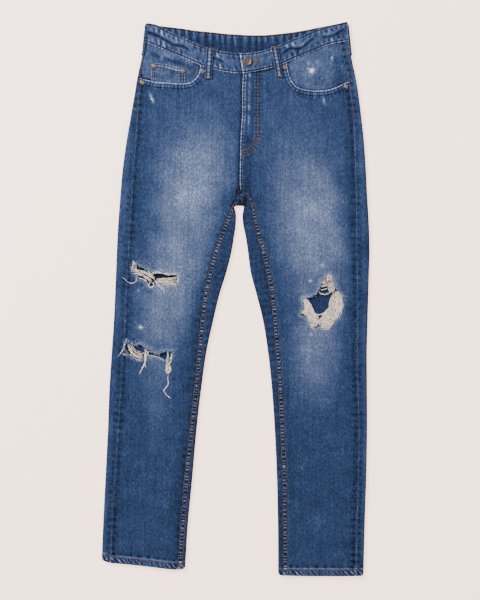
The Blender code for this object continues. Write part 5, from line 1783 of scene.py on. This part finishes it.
for side, out in OUT.items():
    (x0, y0), (x1, y1) = FRONT_LOOPS[side]
    for across in (-3.7, 3.7):
        brown_rows += laid(((x0 + across, y0 - 2), (x1 + across, y1 + 2)))
    cx, cy = BACK_POCKET_CENTRES[side]
    for inset in (2, 7.2):
        grown = [(cx + x * (1 - inset / 66), cy + y * (1 - inset / 66)) for x, y in BACK_POCKET]
        under_rows += laid(grown + grown[:1], below=True)
    for offset in (2, 10):
        ys = np.linspace(470, 196, 60)
        if side == "left":
            under_rows += laid(line_of(centre_back(ys) - offset, ys), below=True)
        xs = np.linspace(centre_back(402) + out * 4, outer_edge(side, 424) - out * 8, 60)
        part = 1 - (xs - xs[0]) / (xs[-1] - xs[0])
        yoke_y = 424 + 0.36 * (back_low(xs) - WAIST_GAP - WAIST_Y) - YOKE_DIP * part
        under_rows += laid(line_of(xs, yoke_y - offset), below=True)

sewing += [
    sew("topstitch_brown", BROWN, brown_rows),
    sew("topstitch_hem", HEM_RUST, hem_rows),
    sew("topstitch_inseam", TAN, inseam_rows, length=3.1, width=1.2),
    sew("topstitch_rust", RUBBED, rust_rows, pitch=3, length=2.6),
    sew("topstitch_fly_curve", RUST, curve_rows, pitch=3, length=2.6),
    sew("topstitch_underside", BROWN, under_rows, pitch=3.6, length=2.9),
]

# %% Bartacks and the buttonhole: close satin stitches across a short line
TACKS = (
    ((-185.5, 352), (-185.8, 340)), ((221.6, 347), (222, 336)),
    ((39, 311), (46, 311)), ((9.8, 293), (19.5, 292.5)),
    ((-53.5, 476), (-44, 476)), ((-57, 419.5), (-47, 419.5)),
    ((69, 478), (79, 478)), ((79, 423.5), (89, 422.8)),
    ((-178.5, 468), (-174, 468)), ((212, 470), (217.5, 469)),
    ((-159.4, 447.4), (-152, 446.8)), ((-103, 438), (-96.6, 436.4)),
)
CROTCH_TACKS = (((6.4, 205), (16, 204.6)), ((5.8, 196.5), (15.4, 195.6)), ((6.2, 204), (6, 197.5)))
tack_paths = [path for line in TACKS for path in laid(line, lift=0.25)]
crotch_paths = [path for line in CROTCH_TACKS for path in laid(line, lift=0.2)]
hole = laid(((30.2, 448.6), (46.5, 453.4)), lift=0.2)
hole += laid(((30.2, 450.6), (46, 455.2)), lift=0.2)
for name, finish, paths in (
    ("bartacks", TACK_RUST, tack_paths), ("crotch_bartacks", CROTCH_TACK_SHADE, crotch_paths),
    ("buttonhole_stitches", TACK_RUST, hole),
):
    sewing.append(sew(name, finish, paths, pitch=0.75, length=2.2, width=0.8, across=True))

# %% [markdown]
# ## Loose threads
# Where the blue warp has worn through, the white weft is left. It hangs in the holes in mats
# and bundles. A bundle is a path with a width at each end and a number of strands, which wander
# a little so that no two lie alike. Each bundle lies on the cloth where there is cloth and sinks
# into the hole where there is none.

# %% Strands of a bundle
# Its darkest shade, passed as soiled, is painted shade in the gaps between the strands
WEFT = thread_material("weft_cotton_undyed", "D6BAA8", "FFF9F0", 260, 0.85, soiled="6A554A")


def photo_mm(points):
    """Places read off the photo, in its pixels, as millimetres on the garment."""
    return [((x - 235.5) * 1.9, (299.1 - y) * 1.9) for x, y in points]


def rest_height(x, y, front):
    """Height for a thread at a place: on the cloth on top, or sunk in the hole."""
    z = touch(x, y, only=[front, front.replace("front", "back")])
    return 5 if z is None or z < 3 else z + 0.35


def strands(front, line, other, count, seed, wander=None, sink=0):
    """Strands side by side on a line: other is its widths at both ends, or its other edge."""
    draws = np.random.default_rng(seed)
    first, second = np.array(line, float), np.array(other, float)
    if second.ndim == 1:
        middle, half = first, np.linspace(*other, len(line))[:, None] / 2
        first, second = middle + left_of(middle) * half, middle - left_of(middle) * half
        wander = wander or 0.55
    wander = wander or 0.45
    steps = max(len(first), len(second)) * 4
    edges = [evenly(photo_mm(edge), steps) for edge in (first, second)]
    found = []
    share = np.linspace(0, 1, steps)

    def waves(length):
        return ripple(share, length, int(draws.integers(1, 9999)))

    for i in range(count):
        lane = (i + draws.uniform(0.2, 0.8)) / count
        lane = np.clip(lane + 0.07 * waves(0.6), 0, 1)[:, None]
        start, end = draws.uniform(0, 0.1), draws.uniform(0.9, 1)
        part = (share >= start) & (share <= end)
        points = blend(edges[0], edges[1], lane)
        points[:, 0] += wander * waves(0.3)
        points[:, 1] += wander * waves(0.3)
        z = np.array([rest_height(x, y, front) for x, y in points])
        z = np.convolve(np.pad(z, 2, mode="edge"), np.ones(5) / 5, mode="valid")
        z = z - sink + 0.35 * waves(0.4) + draws.uniform(-0.3, 0.5)
        found.append(np.column_stack([points, z])[part])
    return found


LEFT, RIGHT = "front_panel_left", "front_panel_right"
print("photo pixel 300, 300 is at", [round(v, 1) for v in photo_mm([(300, 300)])[0]], "mm")

# %% The bundles, read off the photo
# A row: places in photo pixels, widths at both ends or the other edge, strands, seed
BUNDLES = {
    "rip_threads_left_upper": (
        (((133.3, 259), (133.6, 264), (132.9, 268.5), (133.4, 273)), (1, 3.2), 6, 101),
        (((134.2, 261), (135.8, 266), (136, 270), (135.2, 273.4)), (0.8, 2), 4, 102),
        (((132.6, 271), (138.5, 270.8), (143.6, 272), (148.6, 274.6), (153, 277.6), (156.4, 280)),
         (2, 2.8), 7, 104),
        (((132.8, 273), (138, 273.6), (143.5, 275.6), (148.4, 278.8), (152.4, 282.6)), (1.8, 2.8), 6,
         105),
        (((136.4, 275.2), (139, 278.2), (143.5, 279.4), (148.6, 282.8)), (0.8, 1.2), 3, 106),
        (((147, 269.8), (149.6, 273.2), (152.8, 275.6)), (1, 1.4), 4, 107),
        (((150, 275), (153, 273.4), (157, 272.4), (160.4, 272.6), (164, 273.6), (169.4, 274.6),
         (178, 274.4)), (1.6, 1.4), 5, 108),
        (((154.6, 280.2), (160, 279.4), (166, 278.8), (172, 278.8), (178, 277.4)), (1.6, 1.8), 5, 109),
        (((153.2, 281), (159, 281.8), (165, 281.2), (171, 281.8), (177.6, 280.4)), (2.2, 2.4), 6, 110,
         0.8),
        (((160.4, 284), (166, 283.6), (172, 284.2), (177.2, 282.8)), (1.9, 1.8), 4, 111),
        (((177.6, 273.8), (178.2, 278), (177.2, 284)), (1.2, 1.2), 4, 112),
        (((150.4, 282.2), (148.8, 284), (149.4, 286.8), (151.8, 287.6), (153.6, 285.8), (153.2, 283.2),
         (151.4, 282.4)), (0.9, 0.9), 3, 113),
        (((154.6, 280.6), (158, 284.8), (161.7, 288.5), (162.8, 289.8)), (1.8, 0.8), 5, 114),
        (((161.2, 283.8), (163, 288.4), (164.8, 293.2)), (0.9, 0.4), 2, 115),
        (((136.9, 274.6), (137, 278.4), (136, 281.8), (132.2, 283.6), (128, 282.2), (124.8, 279.4),
         (122.2, 277)), (0.6, 0.2), 2, 116),
    ),
    "rip_threads_left_lower": (
        (((127.6, 342.6), (129, 347.5), (132, 352.6), (137, 355.8), (143.6, 355.4)), (1.9, 1.6), 5, 121),
        (((129.4, 343.4), (132, 348.6), (136.2, 352.8), (141.6, 354.2), (145.2, 352.6)), (1.2, 0.8), 3,
         122),
        (((131.6, 344), (134, 348.8), (138, 351.8), (143, 352.6)), (0.5, 0.4), 1, 123),
        (((128, 347.4), (130.4, 352), (134.4, 356.2), (139.6, 358), (144, 357)), (0.8, 0.8), 3, 124),
        (((127.2, 336.8), (125.1, 343.8), (121.7, 352), (116.6, 358.8)), (0.9, 0.4), 3, 125),
        (((121.2, 353), (125, 354.8), (129.6, 354.4), (133, 357), (136.4, 359.4), (140.4, 360.2),
         (144.4, 358)), (0.5, 0.8), 2, 126),
        (((147, 355), (152, 355.9), (157.5, 356.8), (166.2, 361.2)), (0.6, 0.4), 2, 127),
    ),
    "rip_threads_left_hang_a": (
        (((146.3, 346.4), (145.6, 351.4), (144.9, 357.6), (145.6, 361.8), (143, 366.8), (139.2, 375)),
         (2.2, 0.7), 7, 131),
        (((148.6, 350.2), (147.6, 353.6), (145.4, 358)), (1.6, 1.2), 4, 132),
        (((145, 360.4), (144.8, 363.8), (146.2, 368.2)), (0.5, 0.3), 2, 133),
    ),
    "rip_threads_left_hang_b": (
        (((167.4, 350.5), (167.9, 356), (167.2, 362), (168, 367)), (1.2, 1.8), 4, 141),
        (((171.2, 352), (171.9, 357), (170.2, 362.5), (168.2, 367)), (1.3, 1.8), 4, 142),
        (((168.6, 362), (166.6, 366), (166.4, 371), (168, 374.6)), (1.6, 1.4), 4, 143),
        (((167.6, 362), (169.8, 366), (169.8, 370.6), (168, 374.6)), (1.6, 1.4), 4, 144),
        (((165.8, 366), (170.6, 369.6), (166.8, 373.2)), (2.2, 1.8), 5, 145),
        (((170.6, 366), (166, 370), (169.4, 373.6)), (2.2, 1.8), 5, 146),
        (((168, 373), (168, 379), (168.5, 384.2), (166.2, 387.4), (163.8, 390.2), (165.4, 394),
         (172, 399.8)), (0.9, 0.4), 3, 147),
    ),
    "rip_threads_right_outer": (
        (((333.4, 290.5), (332, 296), (330.6, 300), (329.2, 304.4), (328.4, 308.3), (325.2, 311.8),
         (321.4, 315.8), (320, 320.5), (319.6, 327)), ((337.6, 290), (342, 294.2), (343, 304.4),
         (341.6, 312.4), (338.6, 316.8), (334.6, 321.6), (330.6, 325.6), (327.8, 330), (321, 329)), 54,
         151, 1, -0.2),
    ),
    "rip_threads_right_inner": (
        (((303.8, 297.4), (308.8, 301), (311.2, 305), (312.4, 308.6), (316, 313.6), (318.8, 319),
         (320, 327)), ((302, 298.6), (304.6, 303), (305.2, 308.6), (306.6, 315.2), (309.2, 321.8),
         (311.8, 328.4), (314, 329.6)), 38, 161, 1, -0.2),
        (((306.6, 302.6), (304.4, 308), (300.2, 314.4)), ((309.4, 307), (308, 311.6), (305.8, 316.4)), 18,
         162),
        (((312.6, 312.8), (316.6, 314.8), (321, 314.6), (326, 311.8)), (1, 1), 3, 163),
    ),
    "rip_threads_right_top": (
        (((328.4, 273.6), (326.6, 278), (325.2, 282)), ((330, 273.8), (332.2, 278.4), (332.8, 282)), 11,
         171),
        (((320.6, 281.4), (323.4, 280.6), (328.4, 278.8)), ((321.6, 284.6), (325, 284), (329, 282.6)), 6,
         172),
        (((321, 286.6), (324.4, 285.8), (328.8, 284.2)), (1.5, 1.5), 4, 173),
        (((319.6, 290), (323.6, 289.8), (328.6, 288)), (0.9, 0.9), 2, 174),
        (((319.2, 290.6), (320.4, 293.8), (324.6, 294.6), (330, 293.4)), (1.1, 1.1), 3, 175),
        (((328.2, 281), (328, 286), (328.2, 290), (329.4, 294.4)), ((332.6, 280.6), (334, 284),
         (334.6, 288.4), (334.2, 292)), 14, 176),
    ),
}
loose = {}
for key, rows in BUNDLES.items():
    front = LEFT if "left" in key else RIGHT
    loose[key] = [strand for row in rows for strand in strands(front, *row)]
print("strands:", {key: len(group) for key, group in loose.items()})

# %% Strands become one mesh a rip
def thread_mesh(name, group, seed):
    draws = np.random.default_rng(seed)
    source = tubes(name + "_curves", group, 0.38, 1)
    source.data.materials.append(WEFT)
    for spline in source.data.splines:
        count = len(spline.points)
        thick = draws.uniform(0.7, 1.15)
        for k, point in enumerate(spline.points):
            share = k / max(1, count - 1)
            point.radius = thick * (0.55 + 0.45 * min(1, 6 * share, 6 * (1 - share)))
    return kept_mesh(source, name)


for i, (key, group) in enumerate(loose.items()):
    pieces[key] = thread_mesh(key + "_weft", group, 200 + i)

# %% [markdown]
# ## Fluff at the rips
# Round each hole the cut warp yarns stand up as a pale blue fluff. Geometry Nodes set a short
# bent hair at each step of the rip's outline, with its own turn and size.

# %% One hair, and the tree that sets it
FLUFF = thread_material("warp_fluff_pale_indigo", "5A6C93", "B4BDD2", 300, roughness=0.95)
NUDGE = 2.6 * MM


def hair_mesh():
    """One bent hair about 4 mm long, as a thin four-sided tube."""
    path = np.array([(0, 0, 0), (1, 0.4, 0.3), (2.1, 0.6, 0.45), (3.2, 0.45, 0.4), (4.2, 0.05, 0.2)])
    source = tubes("hair_source", [path], 0.19, 0)
    for k, point in enumerate(source.data.splines[0].points):
        point.radius = 1 - 0.18 * k
    return kept_mesh(source, "hair")


def fluff(name, paths, pitch, seed):
    hair = hair_mesh()
    values = {"Pitch": pitch * MM, "Hair": hair}
    tree, given, steps, keys = open_tree(name, values)
    shape = node(tree, "GeometryNodeObjectInfo", Object=given["Hair"])
    turns = node(tree, "FunctionNodeRandomValue", dict(data_type="FLOAT_VECTOR"), Seed=seed,
                 i0=(-0.25, -0.35, 0), i1=(0.25, 0.1, math.tau))
    sizes = node(tree, "FunctionNodeRandomValue", dict(data_type="FLOAT"), Seed=seed + 1,
                 i2=0.5, i3=1.25)
    nudge = node(tree, "FunctionNodeRandomValue", dict(data_type="FLOAT_VECTOR"), Seed=seed + 2,
                 i0=(-NUDGE, -NUDGE, 0), i1=(NUDGE, NUDGE, 0.3 * MM))
    moved = node(tree, "GeometryNodeSetPosition", Geometry=steps[0], Offset=nudge.outputs[0])
    close_tree(tree, moved.outputs[0], shape.outputs["Geometry"], turns.outputs[0],
               sizes.outputs[1], FLUFF)
    made = along_paths(name, paths, tree, keys, values)
    bpy.data.objects.remove(hair)
    return made


print("fluff is", FLUFF.name)

# %% Where the fluff grows
rims = []
for name, outline in RIPS.items():
    front = LEFT if name.startswith("left") else RIGHT
    closed = beside(tuple(outline) + (outline[0],), 1.4)
    rims += laid(closed, lift=0.15, only=[front])
    rims += laid(beside(closed, 2), lift=0.15, only=[front])
# Thicker tufts stand where the photo shows them: below and right of the right rip, above the left
TUFTS = (
    ((337.5, 319), (342, 313)), ((338, 321), (342.6, 316)), ((330, 328.6), (336, 324.6)),
    ((318, 331), (326, 331.4)), ((338, 287), (342.4, 289.6)), ((301, 317.4), (305.6, 317)),
    ((139, 262.5), (152, 269)), ((141, 260.5), (158, 268.4)), ((156, 269.6), (176, 270.6)),
    ((160, 267.4), (174, 268.4)), ((127, 341), (146, 344.4)), ((146, 346.4), (158, 350.6)),
    ((158, 350), (171, 348.4)), ((147, 287.4), (156, 289.6)),
)
for path in TUFTS:
    rims += laid(photo_mm(path), lift=0.15, only=[LEFT, RIGHT])
rim_fluff = fluff("rip_fluff", rims, 1.05, 300)

# %% [markdown]
# ## Metal
# The tack button and the rivets are pressed brass, plated and aged. Each solid's own profile is
# turned again with more steps and softer rims. The rims are rubbed bright and the hollows stay
# dark. They stay bare, with no lettering.

# %% Aged metal
def aged_metal(name, hollow, rubbed):
    made, tree, shader = material(name, roughness=0.42, metallic=1)
    place = node(tree, "ShaderNodeTexCoord").outputs["Object"]
    spots = node(tree, "ShaderNodeTexNoise", Vector=place, Scale=520, Detail=3,
                 Roughness=0.65).outputs[0]
    colour = node(tree, "ShaderNodeValToRGB", stops=((0.3, hollow), (0.7, rubbed)), i0=spots)
    tree.links.new(colour.outputs["Color"], shader.inputs["Base Color"])
    rough = node(tree, "ShaderNodeMath", dict(operation="MULTIPLY_ADD"), i0=spots, i1=-0.3, i2=0.58)
    tree.links.new(rough.outputs[0], shader.inputs["Roughness"])
    pits = node(tree, "ShaderNodeBump", Strength=0.25, Distance=0.0003, Height=spots)
    tree.links.new(pits.outputs[0], shader.inputs["Normal"])
    return made


BRONZE = aged_metal("tack_button_antique_brass", "38322E", "80746A")
COPPER = aged_metal("rivet_brass_worn", "42362E", "A48E7A")
print("metals:", BRONZE.name, COPPER.name)

# %% Turning a profile
def turned(node_name, profile, place, finish, steps=40, tilt=(1, 1, 0)):
    """A profile of radius and height turned round its middle, as a closed mesh."""
    shape = bmesh.new()
    wide, tall, lean = tilt
    turn = math.radians(lean)
    rings = []
    for radius, height in profile:
        ring = []
        for k in range(steps if radius > 0 else 1):
            angle = math.tau * k / steps
            x, y = wide * radius * math.cos(angle), tall * radius * math.sin(angle)
            spot = Vector((x * math.cos(turn) - y * math.sin(turn),
                           x * math.sin(turn) + y * math.cos(turn), height))
            ring.append(shape.verts.new((Vector(place) + spot) * MM))
        rings.append(ring)
    for upper, lower in zip(rings, rings[1:]):
        for k in range(steps):
            corners = [upper[k % len(upper)], lower[k % len(lower)],
                       lower[(k + 1) % len(lower)], upper[(k + 1) % len(upper)]]
            unique = list(dict.fromkeys(corners))
            if len(unique) > 2:
                shape.faces.new(unique)
    bmesh.ops.recalc_face_normals(shape, faces=shape.faces)
    mesh = bpy.data.meshes.new(node_name + "_metal")
    shape.to_mesh(mesh)
    shape.free()
    mesh.materials.append(finish)
    mesh.shade_smooth()
    pieces[node_name] = linked(node_name + "_metal", mesh)


def middle_of(node_name):
    """A solid's middle, its lowest point and its height, in millimetres."""
    low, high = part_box(node_name)
    x, y = [0.5 * (low[k] + high[k]) / MM for k in (0, 1)]
    return (x, y, low[2] / MM), (high[2] - low[2]) / MM


place, tall = middle_of("button")
# Radius, and height as a share of the whole
BUTTON = (
    (0, 0.80), (2, 0.795), (4.6, 0.77), (5.4, 0.80), (6, 0.90), (6.6, 0.98), (7.2, 1),
    (7.8, 0.96), (8.2, 0.85), (8.4, 0.7), (8.3, 0.5), (7.8, 0.4), (5, 0.32), (4, 0.2),
    (3.8, 0), (0, 0),
)
RIVET = (
    (0, 1), (0.7, 0.98), (1.3, 0.8), (1.7, 0.4), (2.4, 0.3), (3.1, 0.42), (3.7, 0.5),
    (4.15, 0.36), (4.3, 0.14), (4.2, 0), (0, 0),
)
turned("button", [(r, h * tall) for r, h in BUTTON], place, BRONZE, 56, (0.94, 1.06, -12))
for key in ("left_outer", "left_inner", "coin_outer", "coin_inner", "right_inner", "right_outer"):
    place, tall = middle_of("rivet_" + key)
    turned("rivet_" + key, [(r, h * tall) for r, h in RIVET], place, COPPER, 32)
print("the last rivet is", round(tall, 2), "mm tall")

# %% [markdown]
# ## Floor, light and camera
# The photo was taken straight down in an even, soft studio light, a little stronger from the
# upper left, on a warm off-white surface. One big soft lamp gives the direction, a pale sky
# fills the rest, and the floor glows slightly so that shadows on it stay as faint as there.

# %% Floor
mesh = bpy.data.meshes.new("floor")
mesh.from_pydata([(-4, -4, 0), (4, -4, 0), (4, 4, 0), (-4, 4, 0)], [], [(0, 1, 2, 3)])
floor = linked("floor", mesh)
floor.location.z = -0.0004
made, tree, shader = material("pale_paper_backdrop", roughness=0.95)
shader.inputs["Base Color"].default_value = (0.86, 0.80, 0.775, 1)
shader.inputs["Specular IOR Level"].default_value = 0.1
shader.inputs["Emission Color"].default_value = (1, 0.62, 0.47, 1)
# Only the camera sees the glow, so that it doesn't colour the cloth's edges
seen = node(tree, "ShaderNodeLightPath").outputs["Is Camera Ray"]
glow = node(tree, "ShaderNodeMath", dict(operation="MULTIPLY"), i0=seen, i1=2.6)
tree.links.new(glow.outputs[0], shader.inputs["Emission Strength"])
mesh.materials.append(made)
print("floor:", made.name)

# %% Light
light = bpy.data.lights.new("key_soft", "AREA")
light.size = 1.3
light.energy = 230
lamp = linked("key_soft", light)
lamp.location = (-2.1, 2, 2.1)
lamp.rotation_euler = (-Vector(lamp.location)).to_track_quat("-Z", "Y").to_euler()
world = bpy.data.worlds.new("studio")
world.use_nodes = True
sky = world.node_tree.nodes["Background"]
sky.inputs["Color"].default_value = (1, 1, 1, 1)
sky.inputs["Strength"].default_value = 0.9
bpy.context.scene.world = world
print("lamp and sky:", light.energy, "W and", round(sky.inputs["Strength"].default_value, 2))

# %% Camera straight down
PX = 1.9
LENS = 85
SENSOR = 36
camera_data = bpy.data.cameras.new("camera")
camera_data.lens = LENS
camera_data.sensor_width = SENSOR
camera_data.sensor_fit = "AUTO"
camera_data.clip_end = 20
camera = linked("camera", camera_data)
# High enough to see 600 pixels of 1.9 mm, over the middle of the photo
distance = 600 * PX * MM * LENS / SENSOR
camera.location = ((240 - 235.5) * PX * MM, (299.1 - 300) * PX * MM, distance + 0.006)
bpy.context.scene.camera = camera
print("camera height, m:", round(camera.location.z, 3))

# %% [markdown]
# ## Handing the pieces to the frame
# Every piece rides on the one body and stands for its solid.


# %% Each piece rides and stands for its solid
def triangles_of(piece):
    graph = bpy.context.evaluated_depsgraph_get()
    mesh = piece.evaluated_get(graph).to_mesh()
    mesh.calc_loop_triangles()
    count = len(mesh.loop_triangles)
    piece.evaluated_get(graph).to_mesh_clear()
    return count


total = 0
for key, piece in pieces.items():
    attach(piece, "root")
    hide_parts(key)
    count = triangles_of(piece)
    total += count
    print(key, count, "triangles")
for piece in sewing + [rim_fluff]:
    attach(piece, "root")
    count = triangles_of(piece)
    total += count
    print(piece.name, count, "triangles")
print("in all:", total)
